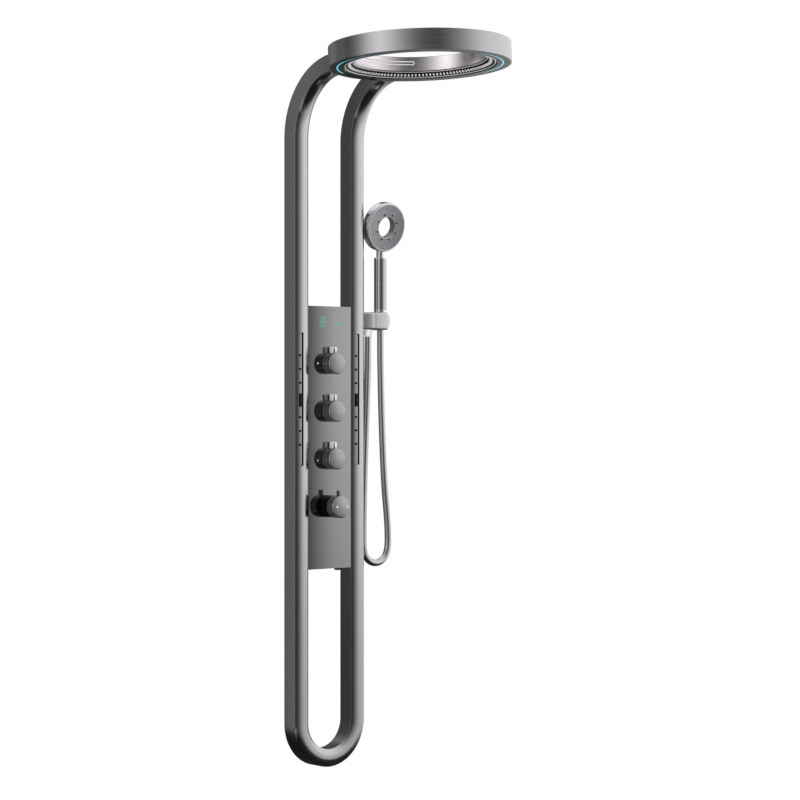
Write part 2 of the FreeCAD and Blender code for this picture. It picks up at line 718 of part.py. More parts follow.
elbows = []
for side, sign in SIDES:
    turn = Rotation(Vector(0, 1, 0), 90 * float(sign))
    tail = rod(
        f"{side}_elbow_tail", "dim.elbow_radius", f"{HALF_PITCH} - dim.valve_width / 2",
        (f"{sign} * dim.valve_width / 2", WATER_Y, ELBOW_Z), turn)
    cup = rod(
        f"{side}_elbow_cup", "dim.elbow_socket", "dim.elbow_rise + dim.elbow_radius",
        (f"{sign} * {HALF_PITCH}", WATER_Y, f"{ELBOW_Z} - dim.elbow_radius"))
    elbows.append(joined(f"{side}_elbow", [tail, cup]))
node(group("elbow_pair", elbows), "supply_elbows")

feeds = []
for side, sign in SIDES:
    more = f"(1 - {sign}) / 2 * dim.slot_more"
    edge = f"({HALF_PITCH} - {sign} * dim.slot_offset - dim.cradle_half - {more} - dim.valve_width / 2)"
    turn = Rotation(Vector(0, 1, 0), 90 * float(sign))
    feeds.append(rod(
        f"{side}_feed", "dim.feed_radius", edge,
        (f"{sign} * dim.valve_width / 2", feed_y, "dim.feed_z"), turn))
node(group("feed_pair", feeds), "jet_feeds")

# cartridges, spindles, knobs: forward distances are counted from the panel's front
FLANGE_BACK = f"({VALVE_FRONT_Y} - {FRONT_Y})"
SPINDLE_HOLE = "(dim.spindle_radius + dim.running_gap)"
for index, height in enumerate(KNOB_Z):
    thermo = index == 3
    tag = "thermostat" if thermo else f"function_{index + 1}"
    reach = "dim.spindle_reach + dim.collar_length" if thermo else "dim.spindle_reach"
    at = ("0", FRONT_Y, height)
    seat = f"(-{FLANGE_BACK})"
    node(turned(f"{tag}_insert", [
        (SPINDLE_HOLE, f"{seat} - dim.socket_depth"),
        ("dim.socket_radius", f"{seat} - dim.socket_depth"),
        ("dim.socket_radius", seat),
        ("dim.flange_radius", seat),
        ("dim.flange_radius", f"{seat} + dim.flange_skin"),
        ("dim.neck_radius", f"{seat} + dim.flange_skin"),
        ("dim.neck_radius", "dim.neck_reach"),
        (SPINDLE_HOLE, "dim.neck_reach"),
    ], at, FORWARD), f"{tag}_cartridge")
    node(rod(f"{tag}_stem", "dim.spindle_radius", f"{reach} + dim.spindle_tail",
             ("0", f"{FRONT_Y} + dim.spindle_tail", height), FORWARD), f"{tag}_spindle")


def finger_pocket(name, width, root, top, start, end, height):
    """Upright block on top of a knob, from one forward distance to another."""
    return block(
        name, (width, f"{end} - {start}", f"{top} - {root}"),
        (f"-{width} / 2", f"{FRONT_Y} - ({end})", f"{height} + {root}"))


def rounded(name, base, radius, axis):
    """Base with its edges along one axis rounded."""
    doc.recompute()
    piece = doc.addObject("Part::Fillet", name)
    piece.Base = base
    edges = []
    for number, edge in enumerate(base.Shape.Edges, start=1):
        along = edge.tangentAt(edge.FirstParameter)
        if abs(along.dot(axis)) > 0.999:
            edges.append((number, size(radius), size(radius)))
    piece.Edges = edges
    return piece


for index, height in enumerate(KNOB_Z[:3]):
    tag = f"function_{index + 1}"
    blank = turned(f"{tag}_blank", [
        ("0", "dim.knob_length"),
        ("dim.knob_radius - dim.knob_chamfer", "dim.knob_length"),
        ("dim.knob_radius", "dim.knob_length - dim.knob_chamfer"),
        ("dim.knob_radius", "dim.knob_gap"),
        ("dim.knob_cavity", "dim.knob_gap"),
        ("dim.knob_cavity", "dim.knob_gap + dim.knob_cavity_depth"),
        ("dim.spindle_radius", "dim.knob_gap + dim.knob_cavity_depth"),
        ("dim.spindle_radius", "dim.spindle_reach"),
        ("0", "dim.spindle_reach"),
    ], ("0", FRONT_Y, height), FORWARD)
    fin = (
        "dim.lever_width", "dim.lever_root", "dim.lever_top",
        "dim.lever_start", "dim.lever_end", height)
    node(cut(f"{tag}_turning", blank, [finger_pocket(f"{tag}_pocket", *fin)]), f"{tag}_knob")
    fin_blank = finger_pocket(f"{tag}_fin_blank", *fin)
    node(rounded(f"{tag}_fin", fin_blank, "dim.lever_round", Vector(0, 0, 1)), f"{tag}_lever")

height = KNOB_Z[3]
node(turned("collar_ring", [
    ("dim.thermo_radius - dim.collar_step", "dim.collar_length"),
    ("dim.thermo_radius - dim.collar_step", "0"),
    ("dim.thermo_radius - dim.collar_step - dim.collar_wall", "0"),
    ("dim.thermo_radius - dim.collar_step - dim.collar_wall", "dim.collar_length"),
], ("0", FRONT_Y, height), FORWARD), "thermostat_collar")
KNOB_BACK = "(dim.collar_length + dim.collar_gap)"
blank = turned("thermostat_blank", [
    ("0", "dim.thermo_length"),
    ("dim.thermo_radius - dim.knob_chamfer", "dim.thermo_length"),
    ("dim.thermo_radius", "dim.thermo_length - dim.knob_chamfer"),
    ("dim.thermo_radius", KNOB_BACK),
    ("dim.spindle_radius", KNOB_BACK),
    ("dim.spindle_radius", "dim.spindle_reach + dim.collar_length"),
    ("0", "dim.spindle_reach + dim.collar_length"),
], ("0", FRONT_Y, height), FORWARD)
slack = "dim.button_gap"
well = finger_pocket(
    "button_well", f"(dim.button_width + 2 * {slack})", f"(dim.button_root - dim.button_travel - {slack})",
    "dim.button_top", f"(dim.button_start - {slack})", f"(dim.button_end + {slack})", height)
node(cut("thermostat_turning", blank, [well]), "thermostat_knob")
button = finger_pocket(
    "button_blank", "dim.button_width", "dim.button_root", "dim.button_top",
    "dim.button_start", "dim.button_end", height)
node(rounded("button_body", button, "dim.lever_round", Vector(0, 0, 1)), "thermostat_button")

# body jets: a bar that turns in its cradle, with six soft nozzles and a finger tab
JET_Z = [f"({JET_MID} + {side} * (dim.jet_inner + {step} * dim.jet_pitch))"
         for side in ("-1", "1") for step in range(3)]
for side, sign in SIDES:
    axis_x = f"({sign} * {HALF_PITCH} - dim.slot_offset)"
    low = "(-dim.jet_low)"
    trough = block(
        f"{side}_trough", ("2 * dim.cradle_half + dim.slot_more", "dim.cradle_front - dim.cradle_back",
                           f"{JET_LENGTH} + 2 * dim.cradle_end"),
        (f"{axis_x} - dim.cradle_half", "-dim.cradle_front", f"{low} - dim.cradle_end"))
    hollow = block(
        f"{side}_hollow", ("2 * (dim.cradle_half - dim.cradle_wall) + dim.slot_more",
                           f"dim.cradle_front - dim.cradle_floor + {OVER}", JET_LENGTH),
        (f"{axis_x} - dim.cradle_half + dim.cradle_wall", f"-dim.cradle_front - {OVER}", low))
    seat = rod(
        f"{side}_pivot_seat", "dim.pivot_radius + dim.running_gap",
        f"{JET_LENGTH} + 2 * (dim.pivot_length + dim.running_gap)",
        (axis_x, "-dim.bar_axis_y", f"{low} - dim.pivot_length - dim.running_gap"))
    node(cut(f"{side}_cradle_body", trough, [hollow, seat]), f"{side}_jet_cradle")

    span = f"({JET_LENGTH} - 2 * dim.bar_end_gap)"
    foot = f"({low} + dim.bar_end_gap)"
    round_bar = rod(f"{side}_round_bar", "dim.bar_radius", span, (axis_x, "-dim.bar_axis_y", foot))
    trim = block(
        f"{side}_bar_trim", ("dim.bar_left + dim.bar_right",
                             "dim.bar_axis_y + dim.bar_radius - dim.bar_back", span),
        (f"{axis_x} - dim.bar_left", "-dim.bar_axis_y - dim.bar_radius", foot))
    pivot = rod(
        f"{side}_pivot", "dim.pivot_radius", f"{span} + 2 * (dim.pivot_length + dim.bar_end_gap)",
        (axis_x, "-dim.bar_axis_y", f"{foot} - dim.pivot_length - dim.bar_end_gap"))
    solid_bar = joined(f"{side}_bar_blank", [shared(f"{side}_bar_section", [round_bar, trim]), pivot])
    face_y = "(-dim.bar_axis_y - dim.bar_radius)"

    def jets(name):
        return [
            rod(f"{side}_{name}_{index}", "dim.jet_radius", "dim.jet_length + dim.jet_proud",
                (axis_x, f"{face_y} + dim.jet_length", height), FORWARD)
            for index, height in enumerate(JET_Z)
        ]

    def tab(name):
        return block(
            f"{side}_{name}", ("dim.tab_width", "dim.tab_proud + dim.tab_root", "dim.tab_height"),
            (f"{axis_x} - dim.tab_width / 2", f"{face_y} - dim.tab_proud",
             f"{JET_MID} - dim.tab_height / 2"))

    holes = jets("jet_hole") + [tab("tab_pocket")]
    node(cut(f"{side}_bar_body", solid_bar, holes), f"{side}_jet_bar")
    node(group(f"{side}_jet_set", jets("jet")), f"{side}_jet_nozzles")
    tab_body = rounded(f"{side}_tab_body", tab("tab_blank"), "dim.lever_round", Vector(0, 1, 0))
    node(tab_body, f"{side}_jet_tab")


def prism(name, corners, height, at):
    """Upright bar with a straight-sided outline."""
    body, sketch = body_sketch(name, "XY_Plane")
    polygon(sketch, corners)
    pad = body.newObject("PartDesign::Pad", f"{name}_pad")
    pad.Profile = sketch
    pad.setExpression("Length", height)
    return place(body, at)


# holder: a root that widens from the rail's side and a round cradle, slotted on its far side
AXIS_Y = "(-dim.handset_y)"
ROOT_X = f"({HALF_PITCH} + {RAIL_HALF})"
HANDSET_X = f"({ROOT_X} + dim.handset_out)"
HOLDER_TOP = "(dim.holder_z + dim.holder_height)"
DEEP = "(2 * dim.holder_radius)"
HOLDER_REACH = "(dim.handset_y + dim.holder_radius)"
node(prism("holder_root", [
    ("0", "-dim.rail_side"),
    ("dim.holder_seam", f"dim.holder_step - {HOLDER_REACH}"),
    ("dim.holder_seam", "dim.holder_radius - dim.handset_y"),
    ("0", "dim.holder_radius - dim.handset_y"),
], "dim.holder_height", (ROOT_X, "0", "dim.holder_z")), "holder_base")
neck = block(
    "cradle_neck", ("dim.handset_out - dim.holder_seam", DEEP, "dim.holder_height"),
    (f"{ROOT_X} + dim.holder_seam", f"{AXIS_Y} - dim.holder_radius", "dim.holder_z"))
nose = rod(
    "cradle_nose", "dim.holder_radius", "dim.holder_height", (HANDSET_X, AXIS_Y, "dim.holder_z"))
throat = rod(
    "cradle_bore", "dim.holder_bore", f"dim.holder_height + 2 * {OVER}",
    (HANDSET_X, AXIS_Y, f"dim.holder_z - {OVER}"))
gate = block(
    "cradle_gate", (f"dim.holder_radius + {OVER}", "dim.holder_slot", f"dim.holder_height + 2 * {OVER}"),
    (HANDSET_X, f"{AXIS_Y} - dim.holder_slot / 2", f"dim.holder_z - {OVER}"))
node(cut("cradle_body", joined("cradle_blank", [neck, nose]), [throat, gate]), "holder_cradle")

# hand shower: handle, chrome collar and neck, ring-shaped spray head and its face
AT_FOOT = (HANDSET_X, AXIS_Y, HOLDER_TOP)
node(turned("collar_turning", [
    ("dim.handle_bore", "0"),
    ("dim.handle_radius", "0"),
    ("dim.handle_radius", "dim.grip_collar"),
    ("dim.handle_bore", "dim.grip_collar"),
], AT_FOOT), "handset_collar")
HANDLE_TOP = f"({HOLDER_TOP} + dim.handle_length)"
NECK_TOP = f"({HANDLE_TOP} + dim.neck_length)"
GRIP = "dim.handle_length"
node(turned("handle_turning", [
    ("dim.handle_bore", "dim.grip_collar"),
    ("dim.handle_radius", "dim.grip_collar"),
    ("dim.handle_radius", f"{GRIP} - dim.handle_chamfer"),
    ("dim.handle_radius - dim.handle_chamfer", GRIP),
    ("dim.handle_bore", GRIP),
], AT_FOOT), "handset_handle")
TILT = "(dim.spray_tilt * 1 deg)"
SPRAY_MID = (
    HANDSET_X,
    f"{AXIS_Y} - dim.spray_radius * sin({TILT})",
    f"{NECK_TOP} + dim.spray_radius * cos({TILT})",
)
SPRAY_TURN = Rotation(Vector(1, 0, 0), 90 + size("dim.spray_tilt"))
SPRAY_HALF = "(dim.spray_skin / 2)"
ROUND = "dim.spray_round"
FACE_SEAT = f"({SPRAY_HALF} - dim.face_depth)"
node(turned("spray_shell", [
    ("dim.spray_hole", f"-{SPRAY_HALF} + {ROUND}"),
    (f"dim.spray_hole + {ROUND}", f"-{SPRAY_HALF}"),
    (f"dim.spray_radius - {ROUND}", f"-{SPRAY_HALF}"),
    ("dim.spray_radius", f"-{SPRAY_HALF} + {ROUND}"),
    ("dim.spray_radius", f"{SPRAY_HALF} - dim.spray_lip"),
    ("dim.spray_radius - dim.spray_lip", SPRAY_HALF),
    ("dim.face_outer", SPRAY_HALF),
    ("dim.face_outer", FACE_SEAT),
    ("dim.face_inner", FACE_SEAT),
    ("dim.face_inner", SPRAY_HALF),
    ("dim.spray_hole", SPRAY_HALF),
], SPRAY_MID, SPRAY_TURN), "handset_head")
node(turned("face_ring", [
    ("dim.face_inner", FACE_SEAT),
    ("dim.face_outer", FACE_SEAT),
    ("dim.face_outer", SPRAY_HALF),
    ("dim.face_inner", SPRAY_HALF),
], SPRAY_MID, SPRAY_TURN), "handset_face")
stalk = rod(
    "neck_bar", "dim.neck_shaft", f"dim.neck_length + {ROUND}",
    (HANDSET_X, AXIS_Y, HANDLE_TOP))
spray_zone = turned("spray_zone", [
    ("0", f"-{SPRAY_HALF}"),
    (f"dim.spray_radius - {ROUND}", f"-{SPRAY_HALF}"),
    ("dim.spray_radius", f"-{SPRAY_HALF} + {ROUND}"),
    ("dim.spray_radius", f"{SPRAY_HALF} + {OVER}"),
    ("0", f"{SPRAY_HALF} + {OVER}"),
], SPRAY_MID, SPRAY_TURN)
node(cut("neck_turning", stalk, [spray_zone]), "handset_neck")

node(turned("hose_cone", [
    ("0", f"dim.hose_nut_end - {HOLDER_TOP}"),
    ("dim.hose_nut_foot", f"dim.hose_nut_end - {HOLDER_TOP}"),
    ("dim.hose_nut_radius", "0"),
    ("dim.handle_bore", "0"),
    ("dim.handle_bore", "dim.grip_collar"),
    ("0", "dim.grip_collar"),
], AT_FOOT), "hose_nut")

# hose: leaves the outlet under the holder, hangs in one loop and climbs to the hand shower;
# its points are counted sideways from the right rail's outer face
HOSE_ROUTE = [
    (13.5, -31.0, 208.0),
    (13.5, -31.0, 146.0),
    (11.2, -27.6, 34.0),
    (9.6, -23.0, -100.0),
    (9.8, -20.4, -190.0),
    (10.6, -20.0, -243.0),
    (30.2, -20.0, -263.0),
    (58.2, -20.2, -263.4),
    (78.2, -20.6, -243.0),
    (78.6, -21.0, -190.0),
    (67.0, -22.0, -100.0),
    (58.6, -23.4, 34.0),
    (54.8, -24.3, 140.0),
    (54.0, -24.5, 186.0),
    (54.0, -24.5, 224.0),
]
ARC_SHARE = 0.45


def hose_path(points):
    """Straight runs joined by tangent arcs, each as large as its two runs allow."""
    edges = []
    radii = []
    last = points[0]
    for before, corner, after in zip(points, points[1:], points[2:]):
        inward = (before - corner).normalize()
        outward = (after - corner).normalize()
        half_turn = (math.pi - inward.getAngle(outward)) / 2
        setback = ARC_SHARE * min((before - corner).Length, (after - corner).Length)
        radius = setback / math.tan(half_turn)
        start = corner + inward * setback
        end = corner + outward * setback
        bisector = (inward + outward).normalize()
        middle = corner + bisector * (radius / math.cos(half_turn) - radius)
        edges.append(Part.LineSegment(last, start).toShape())
        edges.append(Part.Arc(start, middle, end).toShape())
        radii.append(radius)
        last = end
    edges.append(Part.LineSegment(last, points[-1]).toShape())
    return Part.Wire(edges), radii


rail_face = Vector(size(ROOT_X), 0, 0)
path, radii = hose_path([rail_face + Vector(*point) for point in HOSE_ROUTE])
start_edge = path.Edges[0]
section = Part.Wire(Part.makeCircle(
    size("dim.hose_radius"), start_edge.valueAt(start_edge.FirstParameter),
    start_edge.tangentAt(start_edge.FirstParameter)))
hose = doc.addObject("Part::Feature", "hose_tube")
hose.Shape = path.makePipeShell([section], True, False)
node(hose, "hose")
expected = math.pi * size("dim.hose_radius") ** 2 * path.Length
print("hose radii", [round(radius, 1) for radius in radii])
print("hose length", round(path.Length, 1), "volume share", round(hose.Shape.Volume / expected, 4))

out, forward, _ = HOSE_ROUTE[0]
node(turned("outlet_turning", [
    ("0", "dim.outlet_end"),
    ("dim.outlet_lip", "dim.outlet_end"),
    ("dim.outlet_radius", "dim.outlet_end + dim.outlet_step"),
    ("dim.outlet_radius", "dim.holder_z"),
    ("0", "dim.holder_z"),
], (f"{ROOT_X} + {out}", str(forward), "0")), "hose_outlet")

doc.recompute()
failed = [item.Name for item in doc.Objects if {"Invalid", "Error"} & set(item.State)]
if failed:
    raise RuntimeError(f"failed features: {failed}")
for piece in NODES:
    if piece.Shape.isNull() or not piece.Shape.isValid():
        raise RuntimeError(f"bad shape: {piece.Label}")
os.makedirs("parts", exist_ok=True)
for piece in NODES:
    piece.Shape.exportStep(os.path.join("parts", f"{piece.Label}.step"))
print(len(NODES), "nodes written")
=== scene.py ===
"""Wall-hung shower column dressed for rendering: metres, X right, Y into the wall, Z up."""
import math

import bmesh
import bpy
from mathutils import Matrix, Vector


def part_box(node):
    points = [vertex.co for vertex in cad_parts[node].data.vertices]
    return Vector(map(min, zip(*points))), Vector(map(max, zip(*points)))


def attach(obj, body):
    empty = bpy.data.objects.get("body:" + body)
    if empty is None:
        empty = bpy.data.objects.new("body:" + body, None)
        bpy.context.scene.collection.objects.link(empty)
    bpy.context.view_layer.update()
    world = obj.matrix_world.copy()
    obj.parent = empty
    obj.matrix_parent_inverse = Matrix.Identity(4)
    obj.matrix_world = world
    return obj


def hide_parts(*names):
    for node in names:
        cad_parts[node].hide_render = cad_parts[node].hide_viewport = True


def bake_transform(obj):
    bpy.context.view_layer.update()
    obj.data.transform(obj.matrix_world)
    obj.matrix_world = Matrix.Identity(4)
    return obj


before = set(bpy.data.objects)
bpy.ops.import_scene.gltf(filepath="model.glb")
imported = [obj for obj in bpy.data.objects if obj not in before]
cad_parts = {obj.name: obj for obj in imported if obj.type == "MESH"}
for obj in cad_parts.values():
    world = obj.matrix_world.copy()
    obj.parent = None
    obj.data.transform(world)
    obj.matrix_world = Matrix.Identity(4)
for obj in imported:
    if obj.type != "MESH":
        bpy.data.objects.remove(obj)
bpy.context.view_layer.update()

# Carcass: wall plate, box and posts folded from stainless sheet, bolted to both rails.
# Cold-rolled sheet shows faint rolling lines along its height and an uneven, dull sheen.
SHEET_LINE = 0.0016
GRAIN_BAND = (0.3, 0.7)
GRAIN_RELIEF = 0.5


def linear(code):
    """Colour with alpha from an sRGB hex code."""
    shares = [int(code[index:index + 2], 16) / 255 for index in (1, 3, 5)]
    return tuple(s / 12.92 if s <= 0.04045 else ((s + 0.055) / 1.055) ** 2.4 for s in shares) + (1.0,)


def feed(node, inputs):
    """Give a node its inputs: fixed values, outputs, or nodes, whose first output is meant."""
    for socket, value in inputs.items():
        if isinstance(value, bpy.types.Node):
            value = value.outputs[0]
        if isinstance(value, bpy.types.NodeSocket):
            node.id_data.links.new(value, node.inputs[socket])
        else:
            node.inputs[socket].default_value = value


def add(tree, kind, inputs=None, **settings):
    """Node with its settings and links."""
    node = tree.nodes.new(kind)
    for key, value in settings.items():
        setattr(node, key, value)
    feed(node, inputs or {})
    return node


def coat(name, colour, **sockets):
    """Material, tree and shader; other sockets go by their own names."""
    material = bpy.data.materials.new(name)
    material.use_nodes = True
    shader = material.node_tree.nodes["Principled BSDF"]
    feed(shader, {"Base Color": linear(colour)})
    feed(shader, {key.replace("_", " "): value for key, value in sockets.items()})
    return material, material.node_tree, shader


def set_stops(ramp, stops):
    """Give a colour ramp its stops, as (place, colour) in rising order."""
    elements = ramp.color_ramp.elements
    for place, _ in stops[1:-1]:
        elements.new(place)
    for element, (place, colour) in zip(elements, stops):
        element.position = place
        element.color = colour


def roughen(tree, shader, gloss, scale, source="Object", detail=3.0):
    """Roughness that wanders between two values; gives the noise that it follows."""
    place = add(tree, "ShaderNodeTexCoord")
    sized = add(tree, "ShaderNodeMapping", {"Vector": place.outputs[source], "Scale": scale})
    noise = add(tree, "ShaderNodeTexNoise", {"Vector": sized, "Scale": 1.0, "Detail": detail})
    rough = add(tree, "ShaderNodeMapRange", {
        "Value": noise, "From Min": GRAIN_BAND[0], "From Max": GRAIN_BAND[1],
        "To Min": gloss[0], "To Max": gloss[1]})
    feed(shader, {"Roughness": rough})
    return noise


def grained(name, colour, shade, gloss, grain, source="Object", stretch=(1.0, 1.0, 1.0), depth=1e-5,
            **sockets):
    """Material whose grain tints the colour, varies the gloss and lifts the skin."""
    material, tree, shader = coat(name, colour, **sockets)
    noise = roughen(tree, shader, gloss, [share / grain for share in stretch], source)
    tone = add(tree, "ShaderNodeValToRGB", {"Fac": noise})
    set_stops(tone, list(zip(GRAIN_BAND, (linear(shade), linear(colour)))))
    relief = add(tree, "ShaderNodeBump", {"Height": noise, "Strength": GRAIN_RELIEF, "Distance": depth})
    feed(shader, {"Base Color": tone, "Normal": relief})
    return material


def paint(material, *names):
    """Give CAD nodes a finish."""
    for name in names:
        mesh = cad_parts[name].data
        if not mesh.materials:
            mesh.materials.append(material)
        for index in range(len(mesh.materials)):
            mesh.materials[index] = material


sheet_steel = grained(
    "rolled_stainless_sheet", "#a9abad", "#8f9193", (0.32, 0.42), SHEET_LINE,
    stretch=(1.0, 1.0, 0.02), depth=2e-6, Metallic=1.0)
paint(sheet_steel, "wall_plate", "panel_box", "rail_bolts", "valve_posts")

# Water ways: forged brass valve body, nuts, elbows and feeds, with plastic pipes up the rails.
# Forged brass keeps a grainy, blotched skin; the pipe is extruded acetal with a soft sheen.
FORGING_GRAIN = 0.0025
EXTRUDED_LINE = 0.0012
forged_brass = grained(
    "forged_brass", "#b8965a", "#9a7a42", (0.34, 0.5), FORGING_GRAIN, depth=2e-5, Metallic=1.0)
acetal_pipe = grained(
    "extruded_acetal", "#909396", "#85888b", (0.4, 0.5), EXTRUDED_LINE, stretch=(1.0, 1.0, 0.1), IOR=1.48)
paint(forged_brass, "valve_body", "hot_inlet_nut", "cold_inlet_nut", "supply_elbows", "jet_feeds")
for tag in ("function_1", "function_2", "function_3", "thermostat"):
    paint(forged_brass, f"{tag}_cartridge", f"{tag}_spindle")
paint(acetal_pipe, "left_supply_pipe", "right_supply_pipe")

# Rails and arms: one drawn tube each side, flat behind and at the sides, with a shallow crown in front.
# The tube bends forward at the top, flares into the ring head and has a slot for its body jets.
# Satin gunmetal plating gives a dark mirror, softened by lines along the tube, drawn coarse enough to show.
RAIL_X = 0.075
RAIL_HALF = 0.018
RAIL_SIDE = 0.034
RAIL_CROWN = 0.006
RAIL_WALL = 0.0025
BACK_EASE = 0.0014
SHOULDER_EASE = 0.0002
CROWN_RADIUS = (RAIL_HALF ** 2 + RAIL_CROWN ** 2) / (2 * RAIL_CROWN)
CROWN_CENTRE = RAIL_SIDE + RAIL_CROWN - CROWN_RADIUS
CROWN_END = 0.0170
CROWN_STEPS = 14
INNER_END = 0.0150
SLOT_LEFT = -0.0145
SLOT_RIGHT = 0.0001
SLOT_STEPS = 10
CRADLE_END = 0.0034
ARM_RADIUS = 0.158
ARM_STEPS = 44
ARM_FILLET = 0.014
FILLET_STEPS = 12
ARM_ARC = 1.3
FILLET_SHARE = ARM_FILLET / (ARM_RADIUS * ARM_ARC)
FURTHEST_BEND = math.radians(110)
CLOSE_BEND = 1e-5
MERGE = 1e-7
SATIN_LINE = 0.0022
HEAD_PITCH = math.radians(2.8)

rail_low, rail_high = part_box("left_rail")
cradle_low, cradle_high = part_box("left_jet_cradle")
slot_low = cradle_low.z + CRADLE_END
slot_high = cradle_high.z - CRADLE_END
head_low, head_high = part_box("head_shell")
HEAD_RADIUS = (head_high.x - head_low.x) / 2
head_place = Matrix.Translation((head_low + head_high) / 2) @ Matrix.Rotation(-HEAD_PITCH, 4, "X")
into_head = head_place.inverted()

gunmetal = grained(
    "satin_gunmetal_plating", "#c0bec1", "#bbb9bc", (0.13, 0.17), SATIN_LINE, source="UV",
    stretch=(0.012, 1.0, 1.0), depth=6e-7, Metallic=1.0)


def spread(first, last, steps):
    """Evenly spaced numbers, both ends included."""
    return [first + (last - first) * step / steps for step in range(steps + 1)]


def eased(corners, steps=4):
    """Outline whose corners, given as (a, b, reach), are rounded off."""
    points = []
    for index, (a, b, reach) in enumerate(corners):
        corner = Vector((a, b))
        if not reach:
            points.append(corner)
            continue
        before = Vector(corners[index - 1][:2])
        after = Vector(corners[(index + 1) % len(corners)][:2])
        start = corner + (before - corner).normalized() * reach
        end = corner + (after - corner).normalized() * reach
        for share in spread(0.0, 1.0, steps):
            points.append(start.lerp(corner, share).lerp(corner.lerp(end, share), share))
    return points


def loft(shape, rings, around=False, closed=True, skip=(), swap=False):
    """Quads between rings of points; UVs hold metres along the rings and round them, or swapped."""
    layer = shape.loops.layers.uv.verify()
    grid = [[shape.verts.new(point) for point in ring] for ring in rings]
    count = len(rings[0])
    across = [0.0]
    for here, beside in zip(rings[0], rings[0][1:] + rings[0][:1]):
        across.append(across[-1] + (beside - here).length)
    along = [0.0]
    for ring, after in zip(rings, rings[1:] + rings[:1]):
        along.append(along[-1] + max((b - a).length for a, b in zip(ring, after)))
    for row in range(len(rings) if around else len(rings) - 1):
        below, above = grid[row], grid[(row + 1) % len(rings)]
        for turn in range(count if closed else count - 1):
            if (row, turn) in skip:
                continue
            beside = (turn + 1) % count
            face = shape.faces.new((below[turn], below[beside], above[beside], above[turn]))
            for loop, step, side in zip(face.loops, (0, 0, 1, 1), (0, 1, 1, 0)):
                spot = (along[row + step], across[turn + side])
                loop[layer].uv = spot[::-1] if swap else spot
    return grid


def bridge(shape, first, second):
    """Strip of quads between two equal rows of points."""
    for index in range(len(first) - 1):
        shape.faces.new((first[index], first[index + 1], second[index + 1], second[index]))


def perimeter(rows, turns):
    """Closed walk round a window between two rows and two turns of a grid."""
    (top, foot), (left, right) = rows, turns
    walk = [(top, turn) for turn in range(left, right)] + [(row, right) for row in range(top, foot)]
    walk += [(foot, turn) for turn in range(right, left, -1)] + [(row, left) for row in range(foot, top, -1)]
    return walk + walk[:1]


def linked(name, data):
    """Object put in the scene."""
    made = bpy.data.objects.new(name, data)
    bpy.context.scene.collection.objects.link(made)
    return made


def shaped(name, shape, material, sharp):
    """Object of a shape that faces outwards, smooth but for edges past a sharp angle."""
    bmesh.ops.remove_doubles(shape, verts=shape.verts, dist=MERGE)
    bmesh.ops.recalc_face_normals(shape, faces=shape.faces)
    mesh = bpy.data.meshes.new(name)
    shape.to_mesh(mesh)
    shape.free()
    mesh.materials.append(material)
    mesh.polygons.foreach_set("use_smooth", [True] * len(mesh.polygons))
    mesh.set_sharp_from_angle(angle=math.radians(sharp))
    return linked(name, mesh)


def seated(made, body, nodes):
    """Piece on its body and the CAD nodes that it stands for."""
    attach(made, body)
    if nodes:
        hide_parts(*nodes)
    return made


def piece(name, shape, material, body, slot, *nodes, sharp=34):
    """Finished piece with even shading."""
    made = shaped(name, shape, material, sharp)
    made.modifiers.new("even_shading", "WEIGHTED_NORMAL").keep_sharp = True
    return seated(made, body, nodes)


def crown_depth(across, inset=0.0):
    """Depth of the crowned front at a place across the rail."""
    return CROWN_CENTRE + math.sqrt((CROWN_RADIUS - inset) ** 2 - across ** 2)


def rail_loop(inset):
    """Rail outline as (across, depth), drawn in by an inset; the count of points stays the same."""
    half = RAIL_HALF - inset
    end = INNER_END if inset else CROWN_END
    across = [-end] + spread(SLOT_LEFT, SLOT_RIGHT, SLOT_STEPS) + spread(SLOT_RIGHT, end, CROWN_STEPS)[1:]
    crown = [(x, crown_depth(x, inset), 0) for x in across]
    shoulder = crown_depth(half, inset)
    return eased([
        (-half, inset, BACK_EASE), (-half, shoulder, SHOULDER_EASE), *crown,
        (half, shoulder, SHOULDER_EASE), (half, inset, BACK_EASE)])


def arm_point(middle, across, depth, share):
    """Point of the bent arm: share 0 is the rail's top, share 1 lies on the ring's wall."""
    radius = ARM_RADIUS - depth
    left = (1 - share) * radius * math.pi / 2
    if left < ARM_FILLET:
        across *= 1 + ARM_FILLET * (1 - math.sqrt(1 - (1 - left / ARM_FILLET) ** 2)) / RAIL_HALF

    def at(angle):
        return Vector((
            middle + across, radius * math.cos(angle) - ARM_RADIUS, rail_high.z + radius * math.sin(angle)))

    low, high = 0.0, FURTHEST_BEND
    while high - low > CLOSE_BEND:
        angle = (low + high) / 2
        if (into_head @ at(angle)).xy.length > HEAD_RADIUS:
            low = angle
        else:
            high = angle
    return at(share * low)


def hollow(outer, inner, window=None):
    """Tube with a wall, closed at both ends, with a window between given rows and turns."""
    shape = bmesh.new()
    skip = ()
    if window:
        (top, foot), (left, right) = window
        skip = {(row, turn) for row in range(top, foot) for turn in range(left, right)}
    outside = loft(shape, outer, skip=skip)
    inside = loft(shape, inner, skip=skip)
    for end in (0, -1):
        bridge(shape, outside[end] + outside[end][:1], inside[end] + inside[end][:1])
    if window:
        walk = perimeter(*window)
        bridge(shape, [outside[row][turn] for row, turn in walk], [inside[row][turn] for row, turn in walk])
    return shape


